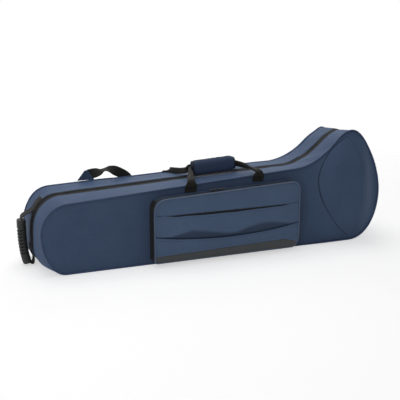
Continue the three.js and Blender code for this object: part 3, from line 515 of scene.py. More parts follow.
def thread(runs, radius, length, pitch, sides=5):
    """Points and faces of stitches along runs of surface points with their outward normals."""
    rings = [(-0.5, 0.35, -0.25), (-0.3, 1.0, 0.0), (0.3, 1.0, 0.0), (0.5, 0.35, -0.25)]
    points, faces = [], []
    for path, normals in runs:
        path, normals = np.asarray(path, float), np.asarray(normals, float)
        total = lengths_along(path)
        for at in np.arange(pitch / 2, total[-1], pitch):
            middle = at_lengths(path, total, at)
            ahead = at_lengths(path, total, min(at + 0.6, total[-1]))
            behind = at_lengths(path, total, max(at - 0.6, 0))
            along = (ahead - behind) / max(np.linalg.norm(ahead - behind), 1e-9)
            out = at_lengths(normals, total, at)
            out -= out @ along * along
            out /= np.linalg.norm(out)
            side = np.cross(along, out)
            start = len(points)
            for share, size, sink in rings:
                centre = middle + along * share * length + out * radius * (0.35 + sink)
                for j in range(sides):
                    angle = TURN * j / sides
                    points.append(centre + radius * size * (math.cos(angle) * side + math.sin(angle) * out))
            last = start + (len(rings) - 1) * sides
            for low in range(start, last, sides):
                for j in range(sides):
                    k = (j + 1) % sides
                    faces.append([low + j, low + k, low + sides + k, low + sides + j])
            faces.append([start + j for j in range(sides - 1, -1, -1)])
            faces.append([last + j for j in range(sides)])
    return points, faces


# Finishes. Varying parts are nodes; anything even all over is set on the shader itself.
def linear(code):
    """A web colour as linear values with alpha."""
    values = [int(code[i:i + 2], 16) / 255 for i in (1, 3, 5)]
    return tuple(v / 12.92 if v <= 0.04045 else ((v + 0.055) / 1.055) ** 2.4 for v in values) + (1.0,)


class Wire:
    """A socket in a finish, with arithmetic that adds Math nodes."""

    def __init__(self, finish, socket):
        self.finish = finish
        self.socket = socket

    def maths(self, operation, *values):
        return self.finish.node("ShaderNodeMath", {"operation": operation}, dict(enumerate(values)))

    def __add__(self, other):
        return self.maths("ADD", self, other)

    def __sub__(self, other):
        return self.maths("SUBTRACT", self, other)

    def __rsub__(self, other):
        return self.maths("SUBTRACT", other, self)

    def __mul__(self, other):
        return self.maths("MULTIPLY", self, other)

    __radd__ = __add__
    __rmul__ = __mul__

    def sine(self):
        return self.maths("SINE", self)

    def swing(self, amount):
        """Its swing to both sides of a half, as a share of an amount."""
        return (self - 0.5) * amount

    def between(self, low, high):
        """0 below low, 1 above high."""
        return self.finish.node("ShaderNodeMapRange", {"interpolation_type": "SMOOTHSTEP"},
                                {"Value": self, "From Min": low, "From Max": high})


class Finish:
    """A procedural material and the nodes that are added to it."""

    def __init__(self, name, **even):
        self.material = bpy.data.materials.new(name)
        self.material.use_nodes = True
        self.tree = self.material.node_tree
        self.shader = self.tree.nodes["Principled BSDF"]
        for key, value in even.items():
            self.shader.inputs[key.replace("_", " ")].default_value = value

    def node(self, kind, settings=None, sockets=None, output=0):
        """Adds a node and gives one of its outputs."""
        made = self.tree.nodes.new(kind)
        for key, value in (settings or {}).items():
            setattr(made, key, value)
        for key, value in (sockets or {}).items():
            self.feed(made.inputs[key], value)
        return Wire(self, made.outputs[output])

    def feed(self, socket, value):
        """Joins a wire to a socket, or sets its value; a web colour becomes a linear one."""
        if isinstance(value, Wire):
            self.tree.links.new(value.socket, socket)
        else:
            socket.default_value = linear(value) if isinstance(value, str) else value

    def place(self):
        """The place on the piece in metres."""
        return self.node("ShaderNodeTexCoord", output="Object")

    def cloth(self):
        """The piece's own UV in metres, as two numbers."""
        uv = self.node("ShaderNodeUVMap", {"uv_map": "cloth"})
        return [self.node("ShaderNodeSeparateXYZ", None, {"Vector": uv}, output=i) for i in (0, 1)]

    def point(self, x, y, z=0.0):
        return self.node("ShaderNodeCombineXYZ", None, {"X": x, "Y": y, "Z": z})

    def speckle(self, where, scale, detail=2.0, roughness=0.5):
        """Fractal noise round a half."""
        return self.node("ShaderNodeTexNoise", None,
                         {"Vector": where, "Scale": scale, "Detail": detail, "Roughness": roughness})

    def tone(self, share, low, high):
        """A colour between two others."""
        return self.node("ShaderNodeMix", {"data_type": "RGBA"}, {0: share, 6: low, 7: high}, output=2)

    def mark(self, name):
        """A value that the piece's points carry."""
        return self.node("ShaderNodeAttribute", {"attribute_name": name}, output="Fac")

    def worn(self, low, high):
        """The ridges that wear pale."""
        return self.node("ShaderNodeNewGeometry", output="Pointiness").between(low, high)

    def relief(self, *layers):
        """Bumps on top of one another, each with its height, its strength and its distance in metres."""
        normal = {}
        for height, strength, distance in layers:
            sockets = {"Height": height, "Strength": strength, "Distance": distance, **normal}
            normal = {"Normal": self.node("ShaderNodeBump", None, sockets)}
        return normal["Normal"]

    def wears(self, **parts):
        """Feeds the shader and gives the material."""
        for key, value in parts.items():
            self.feed(self.shader.inputs[key.replace("_", " ")], value)
        return self.material


def woven(finish, pitch):
    """A plain weave: bumps where the threads cross over and under, and its thread-to-thread unevenness."""
    u, v = finish.cloth()
    step = math.pi / pitch
    crossing = (u * step).sine() * (v * step).sine()
    slubs = (finish.speckle(finish.point(u * 1500, v * 45), 1.0)
             + finish.speckle(finish.point(u * 45, v * 1500), 1.0)) * 0.5
    return crossing, slubs


def nylon(name, dark, light, roughness=0.6, pitch=0.0009):
    """Coated woven nylon: fine weave, slubs, soft clouding, painted shade along seams and edges and in folds
    from the seam mark, and paler worn ridges.
    """
    finish = Finish(name, Sheen_Weight=0.15, Sheen_Roughness=0.45, Sheen_Tint=linear("#94b2f0"),
                    Specular_IOR_Level=0.1)
    crossing, slubs = woven(finish, pitch)
    cloud = finish.speckle(finish.place(), 14.0, 4.0, 0.55)
    fine = finish.speckle(finish.place(), 210.0)
    share = 0.5 + crossing * 0.14 + slubs.swing(0.9) + cloud.swing(0.55) + fine.swing(0.3)
    colour = finish.tone(share, dark, light)
    colour = finish.tone(finish.worn(0.52, 0.62) * 0.22, colour, "#7686a6")
    # Painted shade: the seam mark darkens the cloth towards near-black navy along seams and edges and in
    # folds.
    colour = finish.tone(finish.mark("seam").between(0.0, 1.0) * 0.78, colour, "#10161f")
    relief = finish.relief((crossing, 0.35, 0.00012), (slubs, 0.3, 0.0003), (fine, 0.25, 0.0004))
    return finish.wears(Base_Color=colour, Roughness=roughness + cloud.swing(0.16) + slubs.swing(0.2),
                        Normal=relief)


def webbing(name, dark, light, pitch=0.0018):
    """Ribbed strap webbing with a herringbone of fine threads."""
    finish = Finish(name, Sheen_Weight=0.05, Sheen_Roughness=0.4, Specular_IOR_Level=0.2)
    u, v = finish.cloth()
    zigzag = finish.node("ShaderNodeMath", {"operation": "PINGPONG"}, {0: v, 1: 0.0032})
    ribs = ((u + zigzag) * (TURN / pitch)).sine()
    lines = (v * (TURN / 0.0011)).sine()
    fuzz = finish.speckle(finish.place(), 420.0, 3.0, 0.6)
    cloud = finish.speckle(finish.place(), 30.0, 3.0)
    share = 0.45 + ribs * 0.22 + lines * 0.1 + fuzz.swing(0.5) + cloud.swing(0.6)
    colour = finish.tone(finish.worn(0.53, 0.66) * 0.3, finish.tone(share, dark, light), "#5c5a55")
    return finish.wears(Base_Color=colour, Roughness=0.72 + fuzz.swing(0.25),
                        Normal=finish.relief((ribs + lines * 0.5, 0.7, 0.00018), (fuzz, 0.4, 0.0003)))


def grained(name, dark, light, scale, depth, roughness, coat=0.0):
    """Vinyl or rubber with a pebbled grain and scuffed high spots."""
    finish = Finish(name, Coat_Roughness=0.35, Specular_IOR_Level=0.45)
    where = finish.place()
    cells = finish.node("ShaderNodeTexVoronoi", {"feature": "SMOOTH_F1"},
                        {"Vector": where, "Scale": scale, "Smoothness": 0.6})
    fine = finish.speckle(where, scale * 1.7, 3.0, 0.6)
    cloud = finish.speckle(where, 22.0, 4.0, 0.6)
    share = 0.35 + cells * 0.4 + fine.swing(0.35) + cloud.swing(0.5)
    colour = finish.tone(finish.worn(0.53, 0.64) * 0.35, finish.tone(share, dark, light), "#6b6d6c")
    return finish.wears(Base_Color=colour, Roughness=roughness + cloud.swing(0.2) + fine.swing(0.1),
                        Coat_Weight=coat + cloud.swing(coat),
                        Normal=finish.relief((1.0 - cells, 0.6, depth), (fine, 0.3, depth * 0.6)))


def hard(name, dark, light, roughness, metallic=0.0):
    """Moulded plastic or plated metal, with fine scratches and slight clouding."""
    finish = Finish(name, Specular_IOR_Level=0.5)
    where = finish.place()
    stretched = finish.node("ShaderNodeMapping", None, {"Vector": where, "Scale": (60, 900, 900)})
    scratches = finish.speckle(stretched, 1.0, 3.0, 0.7)
    cloud = finish.speckle(where, 70.0, 3.0, 0.6)
    grit = finish.speckle(where, 1600.0, 2.0, 0.6)
    return finish.wears(Base_Color=finish.tone(0.5 + cloud.swing(0.8) + scratches.swing(0.5), dark, light),
                        Metallic=metallic - metallic * cloud.between(0.62, 0.9) * 0.25,
                        Roughness=roughness + scratches.swing(0.3) + cloud.swing(0.2),
                        Normal=finish.relief((scratches, 0.15, 0.00012), (grit, 0.2, 0.0001)))


def plush(name, dark, light):
    """Short-pile lining: brushed patches over a dense nap."""
    finish = Finish(name, Sheen_Weight=0.7, Sheen_Roughness=0.5, Specular_IOR_Level=0.1)
    where = finish.place()
    nap = finish.speckle(where, 900.0, 4.0, 0.7)
    brushed = finish.speckle(where, 26.0, 5.0, 0.65)
    return finish.wears(Base_Color=finish.tone(0.45 + brushed.swing(1.3) + nap.swing(0.6), dark, light),
                        Roughness=0.9 + brushed.swing(0.15),
                        Normal=finish.relief((nap, 0.8, 0.0006), (brushed, 0.4, 0.0012)))


def spacer_mesh(name, dark, light, pitch=0.0034):
    """Knitted spacer mesh: rows of small holes."""
    finish = Finish(name, Sheen_Weight=0.2, Sheen_Roughness=0.5, Specular_IOR_Level=0.25)
    where, height = (finish.node("ShaderNodeSeparateXYZ", None, {"Vector": finish.place()}, output=axis)
                     for axis in ("X", "Z"))
    step = TURN / pitch
    holes = ((where + height) * (step * 0.5)).sine() * ((where - height) * (step * 0.5)).sine()
    yarn = finish.speckle(finish.place(), 700.0)
    cloud = finish.speckle(finish.place(), 24.0, 3.0)
    share = holes.between(-0.5, 0.6) * 0.8 + yarn.swing(0.3) + cloud.swing(0.4)
    return finish.wears(Base_Color=finish.tone(share, dark, light), Roughness=0.85 + yarn.swing(0.2),
                        Normal=finish.relief((holes, 0.8, 0.0005), (yarn, 0.3, 0.0003)))


navy = nylon("navy_nylon", "#4a5c7a", "#5f7595")
pocket_navy = nylon("pocket_nylon", "#586c8a", "#6f86a8")
piping_cloth = nylon("piping_cloth", "#4a5a7a", "#687a9e", 0.5, 0.0007)
strap_black = webbing("strap_webbing", "#181817", "#33322f")
zip_tape_black = webbing("zip_tape", "#0c0d0e", "#1b1c1e", 0.0012)
coil_black = hard("zip_coil", "#0e0e0f", "#1b1b1c", 0.55)
# Near-black painted shade for the shadowed inside of the slot.
slot_shade_black = hard("slot_shade_paint", "#070708", "#0d0e11", 0.9)
trim_vinyl = grained("trim_vinyl", "#2b2f32", "#43484b", 640.0, 0.0004, 0.55, 0.12)
grip_rubber = grained("grip_rubber", "#121413", "#242725", 900.0, 0.0003, 0.6)
buckle_plastic = hard("buckle_plastic", "#121315", "#232527", 0.42)
plated_metal = hard("plated_metal", "#a7aaae", "#d2d4d6", 0.28, 1.0)
dark_metal = hard("dark_metal", "#2b2b2d", "#5a5b5e", 0.35, 0.8)
lining_plush = plush("lining_plush", "#15171b", "#30343b")
pad_mesh = spacer_mesh("pad_mesh", "#101012", "#2f2f31")
navy_thread = webbing("navy_thread", "#2c3a55", "#465a7d", 0.0008)
black_thread = webbing("black_thread", "#1d1d1d", "#3d3c3a", 0.0008)

# Stitches: radius, length and pitch in millimetres.
HEM_THREAD = (0.3, 2.2, 3.2)
STRAP_THREAD = (0.32, 2.2, 3.0)
TRIM_THREAD = (0.3, 2.4, 3.4)
PATCH_THREAD = (0.3, 2.2, 3.1)
RETAINER_THREAD = (0.28, 2.0, 2.8)


def fitted(piece, material, slot, body, *nodes):
    """Gives a piece its finish, its body and the CAD nodes that it stands for, which it hides; the slot is
    not used.

    With two finishes, each face keeps the number of its own one.
    """
    if material is not None:
        finishes = material if isinstance(material, list) else [material]
        numbers = [min(polygon.material_index, len(finishes) - 1) for polygon in piece.data.polygons]
        piece.data.materials.clear()
        for finish in finishes:
            piece.data.materials.append(finish)
        piece.data.polygons.foreach_set("material_index", numbers)
    if nodes:
        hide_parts(*nodes)
    if body:
        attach(piece, body)


def sewn(name, runs, material, slot, body, *sizes):
    """Rows of stitches as a piece of their own."""
    fitted(bare_piece(name, *thread(runs, *sizes)), material, slot, body)


# Camera, light and floor, in metres.
LENS_LENGTH, SENSOR_WIDTH = 68.4, 36
CAMERA_PLACE = (-0.7181, -1.7430, 0.5687)
CAMERA_TARGET = (-0.0315, 0, 0.1259)
LAMP_TARGET = (0, 0, 0.1)
# Each lamp's name, place, size and power in watts.
LAMPS = (("overhead", (-0.35, 0.35, 1.9), 1.7, 10.5), ("front", (-1.5, -1.9, 1.1), 1.4, 7),
         ("back", (0.6, 1.9, 1.3), 1.4, 6))


def aim(seat, place, target):
    """Stands a camera or a lamp at a place in metres and turns it to a target."""
    seat.location = place
    seat.rotation_euler = (Vector(target) - seat.location).to_track_quat("-Z", "Y").to_euler()


def stand_camera():
    """The photograph's view: 1.9 m away, from the left front and a little above."""
    camera = bpy.data.cameras.new("view")
    camera.lens = LENS_LENGTH
    camera.sensor_width = SENSOR_WIDTH
    seat = bpy.data.objects.new("view", camera)
    bpy.context.scene.collection.objects.link(seat)
    aim(seat, CAMERA_PLACE, CAMERA_TARGET)
    bpy.context.scene.camera = seat


def soft_lamp(name, place, size, power):
    """A round soft lamp that shines on the case."""
    lamp = bpy.data.lights.new(name, "AREA")
    lamp.shape = "DISK"
    lamp.size = size
    lamp.energy = power
    seat = bpy.data.objects.new(name, lamp)
    bpy.context.scene.collection.objects.link(seat)
    aim(seat, place, LAMP_TARGET)


def seen_rays(tree):
    """A socket that is 1 for the camera's rays and for those that it sees reflected or through something."""
    path = tree.nodes.new("ShaderNodeLightPath")
    seen = path.outputs["Is Camera Ray"]
    for name in ("Is Glossy Ray", "Is Transmission Ray"):
        either = tree.nodes.new("ShaderNodeMath")
        either.operation = "MAXIMUM"
        tree.links.new(seen, either.inputs[0])
        tree.links.new(path.outputs[name], either.inputs[1])
        seen = either.outputs[0]
    return seen


def light_studio():
    """One big soft lamp overhead, weak ones in front and behind, and a surround that looks white."""
    world = bpy.data.worlds.new("surround")
    world.use_nodes = True
    bpy.context.scene.world = world
    bpy.context.scene.view_settings.view_transform = "Standard"
    tree = world.node_tree
    background = tree.nodes["Background"]
    background.inputs["Color"].default_value = (1, 1, 1, 1)
    level = tree.nodes.new("ShaderNodeMix")
    tree.links.new(seen_rays(tree), level.inputs["Factor"])
    level.inputs["A"].default_value = 0.17
    level.inputs["B"].default_value = 1.0
    tree.links.new(level.outputs["Result"], background.inputs["Strength"])
    for lamp in LAMPS:
        soft_lamp(*lamp)


def lay_floor():
    """A pale floor that fades into the white surround well away from the case."""
    bpy.ops.mesh.primitive_circle_add(vertices=96, radius=2.6, fill_type="NGON", location=(0, 0, 0))
    floor = bpy.context.active_object
    floor.name = "floor"
    finish = Finish("pale_floor", Roughness=0.9, Specular_IOR_Level=0.1, Emission_Strength=1.0)
    where = finish.place()
    distance = finish.node("ShaderNodeVectorMath", {"operation": "LENGTH"}, {0: where}, output="Value")
    cloud = finish.speckle(where, 3.0)
    seen = Wire(finish, seen_rays(finish.tree))
    finish.wears(Base_Color=finish.tone(cloud, (0.93, 0.93, 0.93, 1), (0.95, 0.95, 0.95, 1)),
                 Emission_Color=finish.tone(seen, (0, 0, 0, 1), (0.56, 0.56, 0.56, 1)))
    solid = Wire(finish, finish.shader.outputs["BSDF"])
    clear = finish.node("ShaderNodeBsdfTransparent", output="BSDF")
    fade = finish.node("ShaderNodeMixShader", None, {0: distance.between(0.75, 1.9), 1: solid, 2: clear})
    finish.feed(finish.tree.nodes["Material Output"].inputs["Surface"], fade)
    floor.data.materials.append(finish.material)


# The padded halves. Each half's zip starts underneath, clear of the main slider.
ZIP_STARTS = (346, 300)
COIL_REACH, COIL_PITCH = 2.4, 2.8


def wrap_border(ring, rows):
    """A closed outline as the border of a face grid, whose end columns are single points."""
    last = COLUMNS
    count = len(ring)
    return np.vstack([ring[:last + 1], np.repeat(ring[last:last + 1], rows, axis=0),
                      ring[last + 1:count], np.repeat(ring[:1], rows, axis=0)])


def face_shares(height):
    """Row places up a face, with a close first row by each edge for the piping's seam."""
    edge = np.minimum(2.6 / np.maximum(height, 1e-6), 0.5 / FACE_ROWS)
    even = np.linspace(0, 1, FACE_ROWS - 1)[None, :]
    inner = edge[:, None] + (1 - 2 * edge[:, None]) * even
    zeros = np.zeros((len(height), 1))
    return np.hstack([zeros, inner, zeros + 1])


def face_grid(side, inset, inwards, waves):
    """The face from the lower edge to the upper one, swelling over the bell."""
    share = depth_share(side)
    ring, _ = outline(share, inset)
    low = ring[:COLUMNS + 1]
    high = np.vstack([ring[:1], ring[:COLUMNS - 1:-1]])
    rows = face_shares(high[:, 1] - low[:, 1])
    x = low[:, :1] + (high - low)[:, :1] * rows
    z = low[:, 1:] + (high - low)[:, 1:] * rows
    y = face_y(side, x, z, inwards)
    edge_y = side * (half_depth(x + BACK_SHIFT * share) - inwards)
    y[:, 0], y[:, -1] = edge_y[:, 0], edge_y[:, -1]
    y[0], y[-1] = edge_y[0], edge_y[-1]
    if waves:
        height = high[:, 1:] - low[:, 1:]
        inside = np.minimum(rows, 1 - rows) * height
        for k in range(1, COLUMNS):
            for m in range(1, FACE_ROWS):
                y[k, m] += side * face_wave(side, x[k, m], z[k, m]) * smooth(inside[k, m] / 26)
    grid = np.stack([x, y, z], axis=-1)
    # Painted shade: the piping's shadow along the face's edges.
    tint = np.zeros(x.shape)
    tint[:, 0] = tint[:, -1] = 0.8
    tint[:, 1] = tint[:, -2] = 0.25
    tint[0] = tint[-1] = 0.8
    return grid, tint


def side_wave(x, y, z, near_zip):
    """Puckers along the zip and slant folds where the top sweeps up to the bell."""
    pucker = roughness_at(x, 3 * y, z, 26) * 1.3 * near_zip
    slack = roughness_at(x, y, z, 80) * 0.8
    folds = bump_at(x, 258, 40) * smooth((z - 150) / 50) * math.sin((x - 0.55 * abs(y)) / 7.2) * 0.9
    return pucker + slack + folds


def zip_half_width(x, level):
    """How far the main zip's tape shows to each side; it is narrow underneath."""
    wide = 9.0 + 1.0 * roughness_at(x, 7, 3 * level, 45) + 0.6 * roughness_at(x, 2, 9 * level, 17)
    return mix(wide, RIM_GAP, smooth(np.clip(-level, 0, 1) * 2))


def zip_lift(side, x, level, z):
    """The back half's rim stands a little above the front half's on the top and round the slide end."""
    if side < 0:
        return 0.0
    lift = 3.4 + 0.8 * roughness_at(x, 21, z, 60)
    return float(lift * smooth(np.clip(level + 0.75, 0, 1)) * (1 - 0.6 * smooth((x - 40) / 160)))


def half_cover(side):
    """One padded half: face, rounded edge, puckered side, folded rim, and the lining behind."""
    share = depth_share(side)
    front, tint = face_grid(side, 0, 0, True)
    back, _ = face_grid(side, WALL, WALL, False)
    ring, normal = outline(share)
    edge_y = side * half_depth(ring[:, 0] + BACK_SHIFT * share)
    rim_share = 0.5 + side * RIM_GAP / (2 * half_depth(0))
    rows = np.concatenate([[0.03], np.linspace(0.1, 0.9, SIDE_ROWS), [0.965, 1.0]])
    rings = []
    for t in rows:
        near_zip = smooth((t - 0.45) / 0.5)
        level, _ = outline(mix(share, rim_share, t))
        spots = []
        for i in range(len(ring)):
            x, z = level[i]
            y = mix(edge_y[i], side * zip_half_width(x, normal[i][1]), t)
            under = smooth(-normal[i][1])
            lift = zip_lift(side, x, normal[i][1], z) * smooth((t - 0.6) / 0.36)
            puff = (1.5 * math.sin(math.pi * min(t, 0.97)) ** 0.8 - 0.5 * smooth(t / 0.1)
                    + side_wave(x, y, z, near_zip) + lift)
            puff = mix(puff, min(puff, 0.0) * 0.4, under)
            spots.append((x + normal[i][0] * puff, y, z + normal[i][1] * puff))
        rings.append(wrap_border(np.array(spots), FACE_ROWS))
    for inset, step in ((2.2, -0.6), (6.5, 0.2), (WALL, 2.0)):
        inner, _ = outline(rim_share, inset)
        fold = np.array([side * (zip_half_width(x, n[1]) + max(step, 0)) for (x, _), n in zip(inner, normal)])
        flat = np.column_stack([inner[:, 0], fold, inner[:, 1]])
        rings.append(wrap_border(flat, FACE_ROWS))
    deep, _ = outline(share, WALL)
    deep_y = side * (half_depth(deep[:, 0] + BACK_SHIFT * share) - WALL)
    for t in (0.33, 0.66):
        spots = np.column_stack([mix(inner[:, 0], deep[:, 0], t), mix(side * 11, deep_y, t),
                                 mix(inner[:, 1], deep[:, 1], t)])
        rings.append(wrap_border(spots, FACE_ROWS))
    # Painted shade by the piping, at the rim and in the rim's fold under the zip.
    tints = (tint, [0.2] + [0.0] * (len(rows) - 2) + [0.35] + [0.6] * 3 + [0.0] * 3)
    body, word = half_of(side)
    cover = slab(f"{word}_cover", front, rings, back, tints, lined_from=len(rows) + 2)
    fitted(subdivided(cover), [navy, lining_plush], "navy_nylon", body, f"{word}_shell")


def bell_panel(side):
    """The lens-shaped layer over the bell, its turned-under edge sewn down between two curved seams."""
    share = depth_share(side)
    left = np.vstack([stretch(LENS_TOP, LENS_LEFT, [[0.45, 0.14], [1, 0.62]], 24),
                      stretch(LENS_LEFT, LENS_BOTTOM, [[0, 0.4], [0.45, 0.78]], 24)[1:]])[::-1]
    right = np.vstack([stretch(LENS_BOTTOM, LENS_RIGHT, [[0.55, 0.22], [1, 0.6]], 24),
                       stretch(LENS_RIGHT, LENS_TOP, [[0, 0.38], [0.55, 0.86]], 24)[1:]])
    rows = mix(LENS_BOTTOM[1], LENS_TOP[1], 0.5 - 0.5 * np.cos(np.linspace(0, math.pi, 44)))
    even = np.linspace(0, 1, 15)
    across = np.concatenate([[0, 0.012, 0.03], mix(0.06, 0.94, even), [0.97, 0.988, 1]])
    left_x = np.interp(rows, left[:, 1], left[:, 0]) + 9 * np.sin(np.linspace(0, math.pi, len(rows)))
    right_x = np.interp(rows, right[:, 1], right[:, 0])
    x = mix(left_x[None, :], right_x[None, :], across[:, None])
    z = np.broadcast_to(rows[None, :], x.shape)
    ends = np.minimum(z - LENS_BOTTOM[1], LENS_TOP[1] - z)
    inside = np.minimum(np.minimum(across, 1 - across)[:, None] * (right_x - left_x)[None, :], 0.6 * ends)
    placed = shifted(np.column_stack([x.ravel(), z.ravel()]), share)
    x, z = placed[:, 0].reshape(x.shape), placed[:, 1].reshape(x.shape)
    wave = np.array([[face_wave(side, a, b) for a, b in zip(row_x, row_z)] for row_x, row_z in zip(x, z)])
    stand = 0.3 + 1.9 * smooth(inside / 3.2) + 0.9 * smooth(inside / 40)
    base = face_y(side, x, z)
    front = np.stack([x, base + side * (wave + stand), z], axis=-1)
    back = np.stack([x, base + side * (wave - 0.8), z], axis=-1)
    # Painted shade in the groove of the lens's seam, all round its edge.
    tint = 1 - smooth(inside / 3.0)
    body, word = half_of(side)
    panel = slab(f"{word}_bell_layer", front, [], back, (tint, [1.0]))
    fitted(subdivided(panel), navy, "navy_nylon", body, f"{word}_bell_panel")


def edge_piping(side):
    """A covered cord round the edge of a face, lying in front of the edge where the case stands."""
    share = depth_share(side)
    ring, normal = outline(share)
    size = 0.82 * PIPING
    reach = 0.6 * size
    path = []
    for (x, z), (nx, nz) in zip(ring, normal):
        under = min(max(-nz, 0), 1)
        out = mix(reach * 0.35, -size, under)
        ahead = math.sqrt(reach ** 2 - out ** 2) if out > 0 else reach
        inner = out - size
        edge = float(half_depth(x + BACK_SHIFT * share))
        depth = mix(edge, abs(float(face_y(side, x + nx * inner, z + nz * inner))), under) + ahead
        path.append((x + nx * out, side * depth, z + nz * out))
    body, word = half_of(side)
    cord = round_cord(f"{word}_edge_cord", path, size, 12, True, 0.05)
    fitted(cord, piping_cloth, "piping_vinyl", body, f"{word}_piping")


def even_path(path, pitch):
    """Points at an even pitch along a path."""
    total = lengths_along(path)
    return at_lengths(path, total, np.arange(0, total[-1], pitch))


def zip_teeth(path, side_way, up_way, reach, phase, pitch):
    """Coil teeth along a zip: each a small tapered hook that reaches over the middle."""
    spots = even_path(np.hstack([path, side_way, up_way]), pitch)
    points, faces = [], []
    for spot, forward in zip(spots, directions(spots[:, :3])):
        place, across, up = spot[:3] + forward * phase * pitch, spot[3:6], spot[6:9]
        start = len(points)
        for out, half, low, high in ((reach, 0.75, -0.5, 0.55), (0.6, 0.8, -0.3, 0.95),
                                     (-0.45, 0.5, -0.1, 0.6)):
            for along_step, height in ((-half, low), (half, low), (half, high), (-half, high)):
                points.append(place + forward * along_step + across * out + up * height)
        for i in (start, start + 4):
            for j in range(4):
                k = (j + 1) % 4
                faces.append([i + j, i + k, i + 4 + k, i + 4 + j])
        faces.append([start + 3, start + 2, start + 1, start])
        faces.append([start + 8, start + 9, start + 10, start + 11])
    return points, faces


def zip_half(name, tape, teeth, body, node):
    """A zip tape and its coil as one piece, the coil in a finish of its own."""
    for piece in (tape, teeth):
        piece.data.materials.append(zip_tape_black)
        piece.data.materials.append(coil_black)
    shade(teeth, False)
    teeth.data.polygons.foreach_set("material_index", [1] * len(teeth.data.polygons))
    fitted(joined(name, [tape, teeth]), None, "black_webbing", body, node)


def main_zip(side):
    """Half of the main zip: a woven tape just under the rim and its row of coil teeth."""
    ring, normal = outline(0.5)
    rim, _ = outline(0.5 + side * 9 / (2 * half_depth(0)))
    start_x = ZIP_STARTS[depth_share(side)]
    order = [i for i in range(len(ring)) if i > len(LOWER) or normal[i][1] > -0.99 or ring[i][0] >= start_x]
    heel_end = max(i for i in order if i <= END_STEPS)
    order = [i for i in order if i > heel_end] + [i for i in order if i <= heel_end]
    sink = np.array([mix(0.9, 5.6, min(max(-normal[i][1], 0), 1)) for i in order])
    middle = np.array([ring[i] - normal[i] * sink[n] for n, i in enumerate(order)])
    out = np.array([(normal[i][0], 0, normal[i][1]) for i in order])
    path = np.column_stack([middle[:, 0], np.zeros(len(order)), middle[:, 1]])
    across = np.tile((0, side, 0), (len(order), 1)).astype(float)
    stations = []
    for n, (place, up) in enumerate(zip(path, out)):
        x, z = ring[order[n]]
        half = zip_half_width(x, up[2]) + 0.9
        edge = float(np.dot(rim[order[n]] - ring[order[n]], (up[0], up[2]))) + 0.25
        edge += zip_lift(side, x, up[2], z) + (0.5 if side > 0 else 0.1) * roughness_at(x, 3, z, 9)
        edge *= smooth(1 + min(up[2], 0) * 1.4)
        near, far = mix(1.2, half, 0.4), mix(1.2, half, 0.75)
        section = [(half, edge), (far, edge * 0.8 + 0.2), (near, edge * 0.34 + 0.2),
                   (0.9, -0.1), (0.9, -1.4), (near, edge * 0.3 - 1.2), (half, edge - 1.4)]
        stations.append([place + np.array((0, side * y, 0)) + up * rise for y, rise in section])
    body, word = half_of(side)
    tape = swept(f"{word}_zip_half", stations)
    hooks = zip_teeth(path, across, out, COIL_REACH, 0.5 * depth_share(side), COIL_PITCH)
    teeth = bare_piece(f"{word}_coil", *hooks)
    zip_half(f"{word}_zip_half", tape, teeth, body, f"{word}_zip_tape")


def fabric_hinge():
    """The fabric strip that joins the halves underneath."""
    low, high = box_of("hinge_tape")
    x = np.linspace(low[0], high[0], 90)
    y = np.linspace(low[1], high[1], 9)
    top = np.array([[(a, b, high[2] - 0.25 * abs(b) / high[1]) for b in y] for a in x])
    under = top.copy()
    under[..., 2] = 0.15
    hinge = slab("fabric_hinge", top, [], under)
    fitted(hinge, strap_black, "black_webbing", None, "hinge_tape")
    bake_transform(hinge)


stand_camera()
light_studio()
lay_floor()
for side in (-1, 1):
    half_cover(side)
    bell_panel(side)
    edge_piping(side)
    main_zip(side)
fabric_hinge()


# The front pocket. Places on it are u along the face, v up and w out of it.
POCKET_HALF = 0.2144 * LENGTH
POCKET_BOTTOM = 10
POCKET_TOPS = (164, 181)
PANEL_BACK = 26
PANEL_FRONT = 33
LAYER_FRONT = 33.3
SLIT = 126
COIL_LEVEL = 20.5
POCKET_COIL_REACH, POCKET_COIL_PITCH = 1.9, 2.4
# The foot trim's top edge, and how far above the lower seam the folds' ridge runs.
TRIM_LINE = [(-190, 28.5), (-125, 30.5), (-43, 32.5), (42, 34.5), (113, 36.5), (149, 37.6), (172, 31),
             (190, 24)]
RIDGE = [(-192, 2), (-170, 3), (-153, 6), (-129, 17), (-101, 27), (-72, 24), (-40, 18), (-12, 13), (14, 13),
         (30, 17), (50, 24), (81, 28), (112, 24), (143, 13), (170, 4), (192, 2)]
# The slot cloth's slant creases: where each starts, its slope, width and depth, its middle and its reach.
CREASES = [(-150, 86, 0.16, 5, -1.1, -120, 60), (-60, 96, -0.1, 7, -0.8, -60, 70),
           (60, 100, -0.13, 6, -0.9, 95, 60), (120, 88, -0.1, 5, -0.9, 135, 45)]
BAND_HALF = POCKET_HALF - 2.4


def pocket_edges(inset):
    """The pocket outline's lower and upper curves from left to right."""
    left, right = -POCKET_HALF + inset, POCKET_HALF - inset
    bottom = POCKET_BOTTOM + inset
    slope = (POCKET_TOPS[1] - POCKET_TOPS[0]) / (2 * POCKET_HALF)
    top_left = POCKET_TOPS[0] + slope * inset - inset
    top_right = POCKET_TOPS[1] - slope * inset - inset
    r_left, r_right, r_foot = 32 - inset, 26 - inset, 6

    def corner(start, middle, end):
        t = np.linspace(0, 1, 9)[:, None]
        start, middle, end = (np.array(p, float) for p in (start, middle, end))
        return (1 - t) ** 2 * start + 2 * t * (1 - t) * middle + t * t * end

    upper = np.vstack([
        corner((left, top_left - r_left), (left, top_left), (left + r_left, top_left + slope * r_left)),
        corner((right - r_right, top_right - slope * r_right), (right, top_right),
               (right, top_right - r_right)),
    ])
    lower = np.vstack([
        corner((left, bottom + r_foot), (left, bottom), (left + r_foot, bottom)),
        corner((right - 20, bottom), (right - r_foot / 2, bottom), (right, bottom + 32)),
    ])
    return lower, upper


